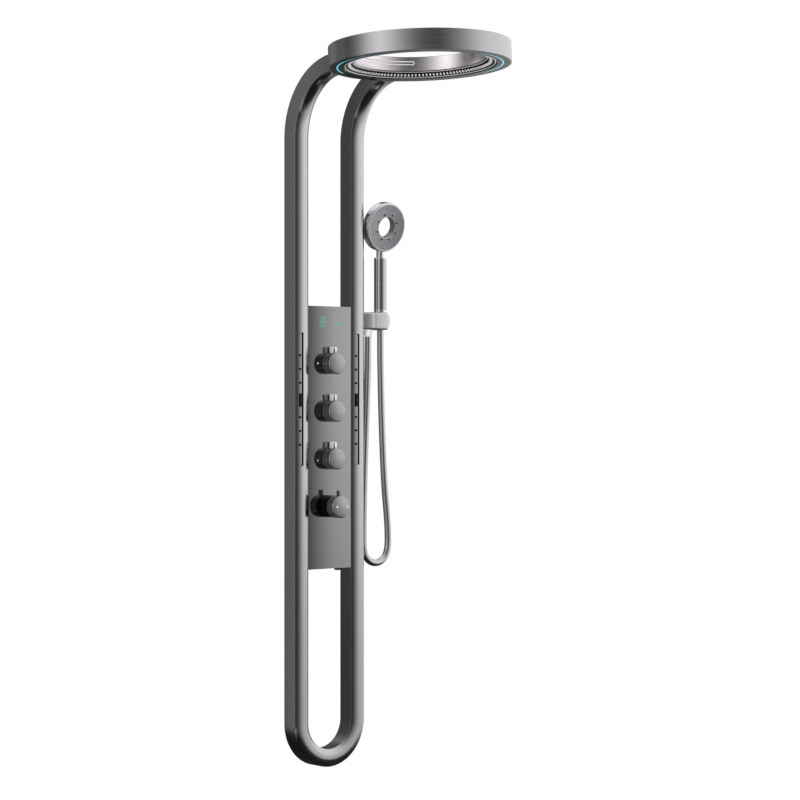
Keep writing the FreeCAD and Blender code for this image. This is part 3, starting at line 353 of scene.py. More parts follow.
rail_loops = rail_loop(0.0), rail_loop(RAIL_WALL)
slot_first = rail_loops[0].index(Vector((SLOT_LEFT, crown_depth(SLOT_LEFT))))
slot_window = (1, 2), (slot_first, slot_first + SLOT_STEPS)
arm_shares = spread(0.0, 1 - FILLET_SHARE, ARM_STEPS)
arm_shares += spread(arm_shares[-1], 1.0, FILLET_STEPS)[1:]
RAIL_SIDES = (("left", -RAIL_X), ("right", RAIL_X))
for side, middle in RAIL_SIDES:
    skins = []
    for loop in rail_loops:
        rings = [[Vector((middle + x, -y, height)) for x, y in loop]
                 for height in (rail_low.z, slot_low, slot_high, rail_high.z)]
        rings += [[arm_point(middle, x, y, share) for x, y in loop] for share in arm_shares[1:]]
        skins.append(rings)
    piece(f"{side}_rail_tube", hollow(*skins, slot_window), gunmetal, "column", "gunmetal",
          f"{side}_rail", f"{side}_arm")

# Lower bend: a half turn of the same tube, pressed on to both rails at the foot.
# It carries the satin plating on, so no seam shows.
BEND_STEPS = 96
skins = []
for loop in rail_loops:
    skins.append([
        [Vector(((RAIL_X + x) * math.cos(turn), -y, rail_low.z + (RAIL_X + x) * math.sin(turn)))
         for x, y in loop] for turn in spread(0.0, -math.pi, BEND_STEPS)])
piece("lower_bend_tube", hollow(*skins), gunmetal, "column", "gunmetal", "lower_bend")

# Body jets: a plated bar lies flush in each rail's slot and turns on two pins in a black cradle.
# Six black rubber nozzles and a black finger tab are pressed into it.
# Moulded rubber is dull and near black; moulded ABS is as dark, with a little more sheen.
BAR_LEFT = -0.0144
BAR_RIGHT = -0.0042
BAR_BACK = 0.0270
BAR_CORNER = 0.0042
CORNER_START = 0.2
BAR_END_GAP = 0.0002
JET_MID = 0.0766
JET_INNER = 0.0347
JET_PITCH = 0.0279
JET_AXIS = -0.008
JET_SIZE = (0.0044, 0.0044, 0.0036)
STUD_CREASE = 0.6
GASKET_SKIN = 0.0003
GASKET_BACK = 0.0330
GASKET_SET = 0.0001
TAB_EASE = 0.0018
TAB_EDGE = 0.0008
MOULD_GRAIN = 0.0010

black_rubber = grained(
    "moulded_black_rubber", "#0a0a0b", "#060607", (0.5, 0.65), MOULD_GRAIN, IOR=1.5, Specular_IOR_Level=0.2)
black_abs = grained(
    "moulded_black_abs", "#0b0b0c", "#080809", (0.32, 0.42), MOULD_GRAIN, depth=6e-6, IOR=1.53,
    Specular_IOR_Level=0.2)
paint(black_rubber, "left_jet_cradle", "right_jet_cradle")


def stud_tree():
    """Geometry tree: a rounded stud on every point, turned by the point's own attribute."""
    tree = bpy.data.node_groups.new("studs_on_points", "GeometryNodeTree")
    for name, kind, way in (
            ("Points", "Geometry", "INPUT"), ("Stud Size", "Vector", "INPUT"), ("Rounding", "Int", "INPUT"),
            ("Finish", "Material", "INPUT"), ("Studs", "Geometry", "OUTPUT")):
        tree.interface.new_socket(name, in_out=way, socket_type=f"NodeSocket{kind}")
    start = add(tree, "NodeGroupInput")
    stud = add(tree, "GeometryNodeMeshCube", {"Size": start.outputs["Stud Size"]})
    soft = add(tree, "GeometryNodeSubdivisionSurface", {
        "Mesh": stud, "Level": start.outputs["Rounding"], "Edge Crease": STUD_CREASE})
    turn = add(tree, "GeometryNodeInputNamedAttribute", {"Name": "turn"}, data_type="FLOAT_VECTOR")
    angle = add(tree, "FunctionNodeEulerToRotation", {"Euler": turn})
    copies = add(tree, "GeometryNodeInstanceOnPoints", {
        "Points": start.outputs["Points"], "Instance": soft, "Rotation": angle})
    real = add(tree, "GeometryNodeRealizeInstances", {"Geometry": copies})
    coated = add(tree, "GeometryNodeSetMaterial", {"Geometry": real, "Material": start.outputs["Finish"]})
    add(tree, "NodeGroupOutput", {"Studs": coated})
    return tree


STUD_TREE = stud_tree()


def studs(name, places, size, material, body, slot, *nodes, turns=None, rounding=2, place=Matrix()):
    """Row or ring of studs at points, which may have their own turns, made one plain mesh."""
    mesh = bpy.data.meshes.new(f"{name}_points")
    mesh.from_pydata(places, [], [])
    turns = turns or [(0.0, 0.0, 0.0)] * len(places)
    turn = mesh.attributes.new("turn", "FLOAT_VECTOR", "POINT")
    turn.data.foreach_set("vector", [value for angles in turns for value in angles])
    made = linked(name, mesh)
    copier = made.modifiers.new("studs", "NODES")
    copier.node_group = STUD_TREE
    sockets = {item.name: item.identifier for item in STUD_TREE.interface.items_tree}
    copier[sockets["Stud Size"]] = size
    copier[sockets["Rounding"]] = rounding
    copier[sockets["Finish"]] = material
    evaluated = made.evaluated_get(bpy.context.evaluated_depsgraph_get())
    real = bpy.data.meshes.new_from_object(evaluated)
    made.modifiers.remove(copier)
    real.transform(place)
    real.polygons.foreach_set("use_smooth", [True] * len(real.polygons))
    made.data = real
    return seated(made, body, nodes)


def capped(*solids, swap=False):
    """Shape of solids, each lofted through its rings and closed at both ends."""
    shape = bmesh.new()
    for rings in solids:
        grid = loft(shape, rings, swap=swap)
        for end in (grid[0], grid[-1]):
            shape.faces.new(end)
    return shape


def slab(low, high, *outlines):
    """Solids between two depths, from flat outlines of (x, z) points."""
    return capped(*[
        [[Vector((x, -depth, z)) for x, z in outline] for depth in (low, high)] for outline in outlines])


def corners(left, foot, right, top):
    """Four corners of a rectangle, from its lower left."""
    return [(left, foot), (right, foot), (right, top), (left, top)]


def soften(made, width):
    """Round a finished piece's edges before its shading is evened."""
    bevel = made.modifiers.new("soft_edges", "BEVEL")
    bevel.width = width
    bevel.segments = 3
    made.modifiers.move(len(made.modifiers) - 1, 0)


def jet_bar(middle):
    """Bar whose front follows the rail's crown, with round corners beside the open gap."""
    rows = spread(BAR_LEFT, BAR_RIGHT - BAR_CORNER, 6)
    for angle in spread(CORNER_START, math.pi / 2, 8):
        rows.append(BAR_RIGHT - BAR_CORNER * (1 - math.sin(angle)))
    rings = []
    for across in rows:
        past = max(across - BAR_RIGHT + BAR_CORNER, 0.0)
        cut = BAR_CORNER - math.sqrt(max(BAR_CORNER ** 2 - past ** 2, 0.0)) + BAR_END_GAP
        front = -crown_depth(across)
        low, high = slot_low + cut, slot_high - cut
        rings.append([Vector((middle + across, depth, height)) for depth, height in (
            (front, low), (front, high), (-BAR_BACK, high), (-BAR_BACK, low))])
    return capped(rings, swap=True)


def slot_gasket(middle):
    """Thin lip along the slot's far edge and both of its ends, just below the crown."""
    rings = []
    for x, z in corners(SLOT_LEFT, slot_low, SLOT_RIGHT, slot_high):
        x_in = min(x, SLOT_RIGHT - GASKET_SKIN)
        z_in = min(max(z, slot_low + GASKET_SKIN), slot_high - GASKET_SKIN)
        front = crown_depth(x) - GASKET_SET
        rings.append([Vector((middle + a, -b, c)) for a, b, c in (
            (x, front, z), (x_in, front, z_in), (x_in, GASKET_BACK, z_in), (x, GASKET_BACK, z))])
    return capped(rings)


jet_heights = [JET_MID + way * (JET_INNER + step * JET_PITCH) for way in (-1, 1) for step in range(3)]
jet_turn = (math.pi / 2, 0.0, math.asin(JET_AXIS / CROWN_RADIUS))
for side, middle in RAIL_SIDES:
    body = f"{side}_jet"
    piece(f"{side}_slot_gasket", slot_gasket(middle), black_rubber, "column", "black_rubber")
    piece(f"{side}_flush_jet_bar", jet_bar(middle), gunmetal, body, "gunmetal", f"{side}_jet_bar")
    jet_places = [(middle + JET_AXIS, -crown_depth(JET_AXIS), height) for height in jet_heights]
    studs(f"{side}_jet_nozzle_row", jet_places, JET_SIZE, black_rubber, body, "black_rubber",
          f"{side}_jet_nozzles", turns=[jet_turn] * len(jet_places))
    low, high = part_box(f"{side}_jet_tab")
    outline = eased([(x, z, TAB_EASE) for x, z in corners(low.x, low.z, high.x, high.z)])
    soften(piece(f"{side}_finger_tab", slab(-high.y, -low.y, outline), black_abs, body,
                 "black_plastic", f"{side}_jet_tab"), TAB_EDGE)

# Panel front: a smoked mirror of plated steel, with painted shade darkening it towards its left edge,
# screwed over the box.
# The display glows through it in teal figures; two small white marks are printed beside knobs.
# Behind it sits the black display board, and a small black drain cap is pressed in underneath.
MIRROR_PAINTED_SHADE_STOPS = ((0.0, "#4d4d4e"), (0.3, "#7a7a7b"), (0.62, "#959596"), (1.0, "#9c9c9d"))
MIRROR_SMEAR = 0.06
MIRROR_GLOSS = (0.07, 0.11)
FIGURE_LIFT = 0.0002
DIGIT_SIZE = (0.0066, 0.0190)
DIGIT_STROKE = 0.0015
DIGIT_TRIM = 0.4
DIGIT_FOOT = 0.2262
DIGITS = ((-0.0282, "abcdg"), (-0.0188, "abcdefg"))
TICK_COUNT = 12
TICK_SPAN = (0.0095, 0.0420)
TICK_Z = 0.2455
TICK_SIZE = (0.0018, 0.0004, 0.0030)
ICON_MID = 0.0225
ICON_FOOT = 0.2285
ICON_DOME = 0.0110
ICON_FLATTEN = 0.6
ICON_DROPS = ((-0.6, 0.35), (0.0, 0.35), (0.6, 0.35), (-0.3, 0.8), (0.3, 0.8))
DROP_SIZE = (0.0016, 0.0004, 0.0036)
MARK_X = -0.032
MARK_SIZE = 0.0021
RING_MARK_Z = 0.1512
ARROW_MARK_Z = -0.0468
ARROW = ((-1, 0.8), (1, 0.8), (0, -1))


def fade(tree, way, span, shares=(0.0, 1.0), **settings):
    """Value between two shares over a span of the object's X, Y, Z or reach from its upright axis."""
    place = add(tree, "ShaderNodeTexCoord")
    axes = add(tree, "ShaderNodeSeparateXYZ", {"Vector": place.outputs["Object"]})
    if way == "reach":
        flat = add(tree, "ShaderNodeCombineXYZ", {axis: axes.outputs[axis] for axis in "XY"})
        value = add(tree, "ShaderNodeVectorMath", {0: flat}, operation="LENGTH").outputs["Value"]
    else:
        value = axes.outputs[way]
    return add(tree, "ShaderNodeMapRange", {
        "Value": value, "From Min": span[0], "From Max": span[1], "To Min": shares[0], "To Max": shares[1]},
        **settings)


panel_low, panel_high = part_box("panel_front")
mirror_plate, mirror_tree, mirror_shader = coat("smoked_mirror_painted_shade", "#8a8a8b", Metallic=1.0)
# Painted shade: the mirror's colour runs from dark at the panel's left edge to light at its right.
mirror_painted_shade = add(mirror_tree, "ShaderNodeValToRGB", {
    "Fac": fade(mirror_tree, "X", (panel_low.x, panel_high.x))})
set_stops(mirror_painted_shade, [(place, linear(code)) for place, code in MIRROR_PAINTED_SHADE_STOPS])
feed(mirror_shader, {"Base Color": mirror_painted_shade})
roughen(mirror_tree, mirror_shader, MIRROR_GLOSS, [1 / MIRROR_SMEAR] * 3, detail=2.0)
paint(mirror_plate, "panel_front")
paint(black_abs, "display_module", "drain_cap")

teal_glow = grained(
    "teal_lit_figures", "#0a1614", "#081210", (0.4, 0.5), MOULD_GRAIN, IOR=1.49,
    Emission_Color=linear("#5cc0ae"), Emission_Strength=0.85)
teal_dim = grained(
    "teal_dim_figures", "#1a2624", "#182220", (0.4, 0.5), MOULD_GRAIN, IOR=1.49,
    Emission_Color=linear("#84b4a6"), Emission_Strength=0.75)
white_print = grained("white_screen_print", "#e4e4e4", "#d8d8d8", (0.4, 0.5), MOULD_GRAIN, IOR=1.5)


def figure(name, outlines, material, slot):
    """Thin flat figures on the panel's face."""
    piece(name, slab(-panel_low.y, FIGURE_LIFT - panel_low.y, *outlines), material, "column", slot)


def digit(left, parts):
    """Outlines of a lit digit's straight strokes, pointed at both ends."""
    wide, tall = DIGIT_SIZE
    strokes = {
        "a": ((0, tall), (wide, tall)), "g": ((0, tall / 2), (wide, tall / 2)), "d": ((0, 0), (wide, 0)),
        "f": ((0, tall / 2), (0, tall)), "b": ((wide, tall / 2), (wide, tall)),
        "e": ((0, 0), (0, tall / 2)), "c": ((wide, 0), (wide, tall / 2))}
    outlines = []
    for part in parts:
        start, end = (Vector(point) + Vector((left, DIGIT_FOOT)) for point in strokes[part])
        ahead = (end - start).normalized() * DIGIT_STROKE / 2
        aside = Vector((-ahead.y, ahead.x))
        start, end = start + ahead * DIGIT_TRIM, end - ahead * DIGIT_TRIM
        outlines.append([
            start, start + ahead + aside, end - ahead + aside,
            end, end - ahead - aside, start + ahead - aside])
    return outlines


def circle(steps):
    """Turns of a full circle, without the last, which is the first again."""
    return spread(0.0, math.tau, steps)[:-1]


figure("display_figures", [outline for row in DIGITS for outline in digit(*row)], teal_glow, "light_guide")
dome = [(ICON_MID + ICON_DOME * math.cos(turn), ICON_FOOT + ICON_DOME * ICON_FLATTEN * math.sin(turn))
        for turn in spread(0.0, math.pi, 20)]
figure("display_icon", [dome], teal_dim, "light_guide")
drops = [(ICON_MID + x * ICON_DOME, panel_low.y, ICON_FOOT - z * ICON_DOME) for x, z in ICON_DROPS]
studs("display_icon_drops", drops, DROP_SIZE, teal_dim, "column", "light_guide", rounding=1)
ticks = [(x, panel_low.y, TICK_Z) for x in spread(*TICK_SPAN, TICK_COUNT - 1)]
studs("display_ticks", ticks, TICK_SIZE, teal_dim, "column", "light_guide", rounding=1)
ring_mark = [(MARK_X + MARK_SIZE * math.sin(turn), RING_MARK_Z + MARK_SIZE * math.cos(turn))
             for turn in circle(24)]
arrow_mark = [(MARK_X + MARK_SIZE * x, ARROW_MARK_Z + MARK_SIZE * z) for x, z in ARROW]
figure("panel_marks", [ring_mark, arrow_mark], white_print, "pale_silicone")

# Function knobs: turned brass, plated like the rails, each on its spindle, with a domed front.
# Fine turning lines round the knob blur its mirror to a grey sheen.
# A cast finger lever stands on each knob, lacquered in pale silver that shines softly from every side.
KNOB_ROUND = 0.0024
KNOB_CHAMFER = 0.0006
KNOB_DOME = 0.0044
KNOB_STEPS = 112
DOME_SHARES = (0.86, 0.7, 0.5, 0.3, 0.12, 0.0)
LEVER_HALF = 0.0026
LEVER_ROOT = 0.0165
LEVER_EDGE = 0.0006
LEVER_GROOVE = 0.0055
GROOVE_WIDTH = 0.0038
CORE_SHARE = 0.6
CORE_DROP = 0.0012
CORE_LAP = 0.001
FLAKE = 0.0009
FACING = Matrix.Rotation(math.pi / 2, 4, "X")

turned_plating = grained(
    "turned_gunmetal_plating", "#a6a4a7", "#a1a0a2", (0.25, 0.28), SATIN_LINE, source="UV",
    stretch=(0.02, 2.0, 1.0), depth=8e-7, Metallic=0.88)
silver_lacquer = grained(
    "silver_flake_lacquer", "#f0f0f1", "#e2e2e4", (0.25, 0.34), FLAKE, depth=4e-6, IOR=1.5)


def polar(radius, turn, height):
    """Point at a radius and a turn about the upright axis."""
    return Vector((radius * math.cos(turn), radius * math.sin(turn), height))


def spun(profile, place, turns):
    """Rings of a profile of (radius, height) points, set at turns about a placed axis."""
    return [[place @ polar(radius, turn, height) for radius, height in profile] for turn in turns]


def turned(profile, place, closed=False, steps=KNOB_STEPS):
    """Turned shape: a profile spun all the way round."""
    shape = bmesh.new()
    loft(shape, spun(profile, place, circle(steps)), around=True, closed=closed)
    return shape


def turned_knob(tag):
    """Plated knob, from the axis behind over a round rim to a low dome; gives its axis and its front."""
    low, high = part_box(f"{tag}_knob")
    radius, back, front = (high.x - low.x) / 2, -high.y, -low.y
    axis = Matrix.Translation(((low.x + high.x) / 2, 0.0, (low.z + high.z) / 2)) @ FACING
    dome = [(radius * share, front - KNOB_DOME * share ** 2, 0.0) for share in DOME_SHARES]
    profile = eased([
        (0.0, back, 0.0), (radius - KNOB_CHAMFER, back, 0.0), (radius, back + KNOB_CHAMFER, 0.0),
        (radius, front - KNOB_DOME, KNOB_ROUND), *dome], steps=7)
    piece(f"{tag}_turned_knob", turned(profile, axis), turned_plating, f"{tag}_control", "gunmetal",
          f"{tag}_knob")
    return axis, front


for tag in ("function_1", "function_2", "function_3"):
    x, _, z = turned_knob(tag)[0].translation
    low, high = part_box(f"{tag}_lever")
    outline = corners(x - LEVER_HALF, z + LEVER_ROOT, x + LEVER_HALF, high.z)
    core = [(x + (a - x) * CORE_SHARE, b - CORE_DROP) for a, b in outline]
    groove = -low.y - LEVER_GROOVE
    groove_end = groove + GROOVE_WIDTH
    body = f"{tag}_control"
    soften(piece(f"{tag}_lever_shank", slab(-high.y, groove, outline), silver_lacquer, body,
                 "chrome", f"{tag}_lever"), LEVER_EDGE)
    soften(piece(f"{tag}_lever_tip", slab(groove_end, -low.y, outline), silver_lacquer, body, "chrome"),
           LEVER_EDGE)
    # Painted shade: the groove between shank and tip is real, and its black core stands for the shade that
    # lies in it.
    piece(f"{tag}_lever_painted_shade_core", slab(groove - CORE_LAP, groove_end + CORE_LAP, core), black_abs, body,
          "black_plastic")

# Thermostat: a black moulded collar on the panel, a plated knob and a spring-loaded stop button on top.
# Two small white dots on the domed face mark its setting.
# The stop button is a zinc-plated pressing with a dull grey shine.
COLLAR_WALL = 0.005
COLLAR_EASES = (0.0004, 0.0008)
STOP_EDGE = 0.0005
DOT_REACH = 0.0135
DOT_SIZE = (0.0042, 0.0042, 0.0014)
DOT_DEPTH = 0.0015

stop_plating = grained(
    "satin_zinc_plating", "#98969a", "#8a888c", (0.24, 0.32), FLAKE, depth=2e-6, Metallic=0.9)
thermostat_axis, thermostat_front = turned_knob("thermostat")
dot_places = [(way * DOT_REACH, 0.0, thermostat_front - DOT_DEPTH) for way in (-1, 1)]
studs("thermostat_dots", dot_places, DOT_SIZE, white_print, "thermostat_control", "pale_silicone",
      place=thermostat_axis)


def tube_profile(radius, bore, low, high, eases):
    """Closed profile of a short tube with eased outer edges."""
    return eased([(bore, low, 0.0), (radius, low, eases[0]), (radius, high, eases[1]), (bore, high, 0.0)])


low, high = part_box("thermostat_collar")
radius = (high.x - low.x) / 2
collar = tube_profile(radius, radius - COLLAR_WALL, -high.y, -low.y, COLLAR_EASES)
piece("thermostat_moulded_collar", turned(collar, thermostat_axis, closed=True), black_abs,
      "column", "black_plastic", "thermostat_collar")
low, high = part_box("thermostat_button")
outline = corners(low.x, low.z, high.x, high.z)
soften(piece("thermostat_stop_button", slab(-high.y, -low.y, outline), stop_plating,
             "thermostat_stop", "black_plastic", "thermostat_button"), STOP_EDGE)

# Ring head: a rolled and welded channel, brushed round its outside, with a paler polished bore.
# A gloss black underside closes it; it holds a cyan light guide, a rubber strip with white nozzles
# between two bright trim rings, and a waterfall spout in the bore.
RING_STEPS = 240
RING_WALL = 0.003
RING_BORE = 0.1284
RING_HALF = 0.0205
RING_EASE = 0.0012
FOOT_EASE = 0.0005
BORE_EASE = 0.0004
CONE_RISE = 0.012
CONE_RIM = 0.152
CONE_SLOPE = CONE_RISE / (CONE_RIM - RING_BORE)
BRUSH_LINE = 0.0018
SPOUT_MID = 0.0075
SPOUT_HALF = 0.0030
SPOUT_ROWS = (35, 84)
SPOUT_STEPS = 48
BORDER_HALF = 0.00085
BORDER_PROUD = 0.0011
BORDER_ROOT = -0.0025
BORDER_SEAT = -0.0002
BORDER_EASE = 0.0004
SLEEVE_SKIN = 0.0004
SLEEVE_LIFT = 0.0006
THROAT_SET = 0.0008
# The next three values paint a highlight into the light guide's glow.
HIGHLIGHT_AXIS = (0.74, -0.67)
HIGHLIGHT_SPAN = (0.105, 0.155)
HIGHLIGHT_GLOW = (0.22, 1.1)
STRIP_MID = 0.139
NOZZLE_COUNT = 120
NOZZLE_SIZE = (0.0072, 0.0036, 0.0026)
NOZZLE_DROP = 0.0012
TRIM_RINGS = (("inner", 0.1318, 0.0009), ("outer", 0.1478, 0.0014))
TRIM_FLATTEN = 0.8

ring_metal = grained(
    "brushed_gunmetal_ring", "#c0bec1", "#b8b6b9", (0.24, 0.30), BRUSH_LINE, source="UV",
    stretch=(0.004, 1.0, 1.0), depth=8e-7, Metallic=1.0)
bore_metal = grained(
    "polished_bore", "#f6f1f4", "#eee9ec", (0.22, 0.28), BRUSH_LINE, source="UV",
    stretch=(0.006, 1.0, 1.0), depth=1e-6, Metallic=1.0)
black_gloss = grained(
    "gloss_black_abs", "#0a0b0c", "#08090a", (0.12, 0.18), MOULD_GRAIN, depth=2e-6, IOR=1.53,
    Specular_IOR_Level=0.15)
pale_silicone = grained("pale_silicone", "#f0eeee", "#e6e3e3", (0.4, 0.5), MOULD_GRAIN, IOR=1.43)
bright_trim = grained(
    "satin_silver_trim", "#e6dfe3", "#dcd5d9", (0.2, 0.26), BRUSH_LINE, source="UV",
    stretch=(0.01, 1.0, 1.0), depth=1e-6, Metallic=0.3)
# The acrylic guide glows, with a painted highlight: its glow is strongest at both ends of one axis across
# the ring and dims between them.
light_guide = grained(
    "lit_acrylic_guide", "#2c4a54", "#26424c", (0.25, 0.35), MOULD_GRAIN, IOR=1.49,
    Emission_Color=linear("#67dcee"))
lit_tree = light_guide.node_tree
lit_place = add(lit_tree, "ShaderNodeTexCoord")
lit_along = add(lit_tree, "ShaderNodeVectorMath", {
    0: lit_place.outputs["Object"], 1: (*HIGHLIGHT_AXIS, 0.0)}, operation="DOT_PRODUCT")
lit_off = add(lit_tree, "ShaderNodeMath", {
    0: lit_along.outputs["Value"], 1: -Vector(HIGHLIGHT_AXIS).dot(head_place.translation.xy)}, operation="ADD")
lit_far = add(lit_tree, "ShaderNodeMath", {0: lit_off}, operation="ABSOLUTE")
guide_painted_highlight = add(lit_tree, "ShaderNodeMapRange", {
    "Value": lit_far, "From Min": HIGHLIGHT_SPAN[0], "From Max": HIGHLIGHT_SPAN[1],
    "To Min": HIGHLIGHT_GLOW[0], "To Max": HIGHLIGHT_GLOW[1]})
feed(lit_tree.nodes["Principled BSDF"], {"Emission Strength": guide_painted_highlight})
paint(black_gloss, "head_underside")
paint(light_guide, "head_light")
paint(black_rubber, "nozzle_strip")


def cone_height(radius):
    """Height of the black underside, which slopes up towards the bore."""
    return (CONE_RIM - radius) * CONE_SLOPE - RING_HALF


def slotted(profile, inner, outer):
    """Ring spun from a closed profile, with the spout's window from one radius through to another."""
    points = [Vector(point) for point in profile]
    first = points.index(Vector((inner, spout_high)))
    second = points.index(Vector((outer, spout_low)))
    skip = {(row, turn) for row in range(*SPOUT_ROWS) for turn in (first, second)}
    shape = bmesh.new()
    grid = loft(shape, spun(profile, head_place, circle(RING_STEPS)), around=True, skip=skip)
    walk = perimeter(SPOUT_ROWS, (first, first + 1))
    bridge(shape, [grid[row][turn] for row, turn in walk],
           [grid[row][first + second + 1 - turn] for row, turn in walk])
    return shape


spout_low, spout_high = SPOUT_MID - SPOUT_HALF, SPOUT_MID + SPOUT_HALF
bore_foot = CONE_RISE - RING_HALF
wall_in = RING_BORE + RING_WALL
ring_profile = eased([
    (HEAD_RADIUS, -RING_HALF, FOOT_EASE), (HEAD_RADIUS, RING_HALF, RING_EASE),
    (RING_BORE, RING_HALF, RING_EASE), (RING_BORE, spout_high, 0.0), (RING_BORE, spout_low, 0.0),
    (RING_BORE, bore_foot, BORE_EASE), (wall_in, cone_height(wall_in), 0.0), (wall_in, spout_low, 0.0),
    (wall_in, spout_high, 0.0), (wall_in, RING_HALF - RING_WALL, 0.0),
    (HEAD_RADIUS - RING_WALL, RING_HALF - RING_WALL, 0.0), (HEAD_RADIUS - RING_WALL, -RING_HALF, 0.0)])
piece("ring_shell", slotted(ring_profile, RING_BORE, wall_in), ring_metal, "column", "brushed_ring",
      "head_shell")
sleeve_in = RING_BORE - SLEEVE_SKIN
sleeve_low, sleeve_high = bore_foot + SLEEVE_LIFT, RING_HALF - RING_EASE
sleeve_profile = [
    (RING_BORE, sleeve_high), (sleeve_in, sleeve_high), (sleeve_in, spout_high), (sleeve_in, spout_low),
    (sleeve_in, sleeve_low), (RING_BORE, sleeve_low), (RING_BORE, spout_low), (RING_BORE, spout_high)]
piece("ring_bore_sleeve", slotted(sleeve_profile, sleeve_in, RING_BORE), bore_metal,
      "column", "brushed_ring")

spout_reach = (SPOUT_ROWS[1] - SPOUT_ROWS[0]) / 2 * math.tau / RING_STEPS
spout_turn = (SPOUT_ROWS[1] + SPOUT_ROWS[0]) / 2 * math.tau / RING_STEPS
straight = spout_reach * RING_BORE - SPOUT_HALF
half_walk = [(along, 0.0) for along in spread(-straight, straight, SPOUT_STEPS)]
half_walk += [(straight, turn) for turn in spread(0.0, math.pi, 10)[1:-1]]
border_section = eased([
    (-BORDER_HALF, BORDER_ROOT, 0.0), (-BORDER_HALF, BORDER_PROUD, BORDER_EASE),
    (BORDER_HALF, BORDER_PROUD, BORDER_EASE), (BORDER_HALF, BORDER_SEAT, 0.0)], steps=3)
rings = []
for way in (1, -1):
    for along, turn in half_walk:
        rings.append([
            head_place @ polar(
                RING_BORE - proud,
                spout_turn + way * (along + (SPOUT_HALF + aside) * math.sin(turn)) / RING_BORE,
                SPOUT_MID + way * (SPOUT_HALF + aside) * math.cos(turn))
            for aside, proud in border_section])
border = bmesh.new()
loft(border, rings, around=True)
piece("spout_border", border, pale_silicone, "column", "chrome", "waterfall_spout")
throat = corners(RING_BORE + THROAT_SET, spout_low, RING_BORE + 2 * THROAT_SET, spout_high)
throat_turns = spread(spout_turn - spout_reach, spout_turn + spout_reach, SPOUT_STEPS)
piece("spout_throat", capped(spun(throat, head_place, throat_turns)), bore_metal, "column", "chrome")

nozzle_turns = circle(NOZZLE_COUNT)
nozzle_height = cone_height(STRIP_MID) - NOZZLE_DROP
studs("silicone_nozzle_ring", [polar(STRIP_MID, turn, nozzle_height) for turn in nozzle_turns],
      NOZZLE_SIZE, pale_silicone, "column", "pale_silicone", "spray_nozzles",
      turns=[(0.0, math.atan(CONE_SLOPE), turn) for turn in nozzle_turns], rounding=1, place=head_place)
for name, radius, half in TRIM_RINGS:
    section = [
        (radius + half * math.cos(turn), cone_height(radius) + TRIM_FLATTEN * half * math.sin(turn))
        for turn in circle(12)]
    piece(f"{name}_trim_ring", turned(section, head_place, closed=True, steps=RING_STEPS), bright_trim,
          "column", "chrome", sharp=60)

# Hand shower holder: a cast root bolted to the rail's side and a cast cradle, slotted on its far side.
# Zinc casting with a satin silver coat: soft broad highlights and a barely visible fine texture.
HOLDER_EDGE = 0.0050
NOSE_RISE = 0.0183
NOSE_TOP = 0.0108
NOSE_START = 0.002
NOSE_RUN = 0.016
NOSE_DRAW = 0.38
NOSE_POWER = 1.5
CRADLE_BORE = 0.0123
GATE_HALF = 0.0085
SEAM_GAP = 0.0003
ROOT_FRONT = (0.0342, 0.0412)
CRADLE_FRONT = 0.0421
CAST_GRAIN = 0.0014

satin_cast = grained(
    "satin_silver_casting", "#cbcacc", "#c3c2c4", (0.26, 0.32), CAST_GRAIN, depth=4e-6, Metallic=1.0)
root_low, root_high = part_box("holder_base")
cradle_low, cradle_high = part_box("holder_cradle")
handle_low, handle_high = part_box("handset_handle")
AXIS_X = (handle_low.x + handle_high.x) / 2
AXIS_Y = (handle_low.y + handle_high.y) / 2
nose_reach = (cradle_high.y - cradle_low.y) / 2


def rounding(height, reach):
    """Share from 0 at the top or foot of the holder to 1 a reach inside it."""
    near = min(height - root_low.z, root_high.z - height)
    share = min(max(near / reach, 0.0), 1.0)
    return math.sqrt(1 - (1 - share) ** 2)


def root_outline(height):
    """Root's outline at a height, with a front that swells towards the seam."""
    inset = HOLDER_EDGE * (1 - rounding(height, HOLDER_EDGE))
    right = root_high.x - SEAM_GAP
    points = []
    for share in spread(0.0, 1.0, 8):
        depth = ROOT_FRONT[0] + (ROOT_FRONT[1] - ROOT_FRONT[0]) * math.sin(share * math.pi / 2)
        points.append(Vector((root_low.x + (right - root_low.x) * share, inset - depth, height)))
    points.append(Vector((right, root_high.y - inset, height)))
    points.append(Vector((root_low.x, root_high.y - inset, height)))
    return points


def nose_height(x, height):
    """Height drawn in towards the middle where the nose rounds over."""
    share = min(max((x - AXIS_X - NOSE_START) / NOSE_RUN, 0.0), 1.0)
    middle = (root_low.z + root_high.z) / 2
    return middle + (height - middle) * (1 - NOSE_DRAW * share ** NOSE_POWER)


def cradle_outline(height):
    """Cradle's outline at a height: front, round nose, gate, bore and back."""
    deep = nose_reach - HOLDER_EDGE * (1 - rounding(height, HOLDER_EDGE))
    wide = NOSE_TOP + (nose_reach - NOSE_TOP) * rounding(height, NOSE_RISE)
    left = root_high.x + SEAM_GAP
    seam_set = -AXIS_Y + nose_reach - CRADLE_FRONT
    points = []
    for share in spread(0.0, 1.0, 8):
        set_back = seam_set * (1 - math.sin(share * math.pi / 2))
        points.append((left + (AXIS_X - left) * share, AXIS_Y - deep + set_back))
    gate = math.acos(GATE_HALF / deep)
    for turn in spread(0.0, gate, 14)[1:]:
        points.append((AXIS_X + wide * math.sin(turn), AXIS_Y - deep * math.cos(turn)))
    mouth = math.asin(GATE_HALF / CRADLE_BORE)
    for turn in spread(-mouth, mouth - math.tau, 36):
        points.append((AXIS_X + CRADLE_BORE * math.cos(turn), AXIS_Y + CRADLE_BORE * math.sin(turn)))
    for turn in spread(gate, 0.0, 14):
        points.append((AXIS_X + wide * math.sin(turn), AXIS_Y + deep * math.cos(turn)))
    points.append((left, AXIS_Y + deep))
    return [Vector((x, y, nose_height(x, height))) for x, y in points]


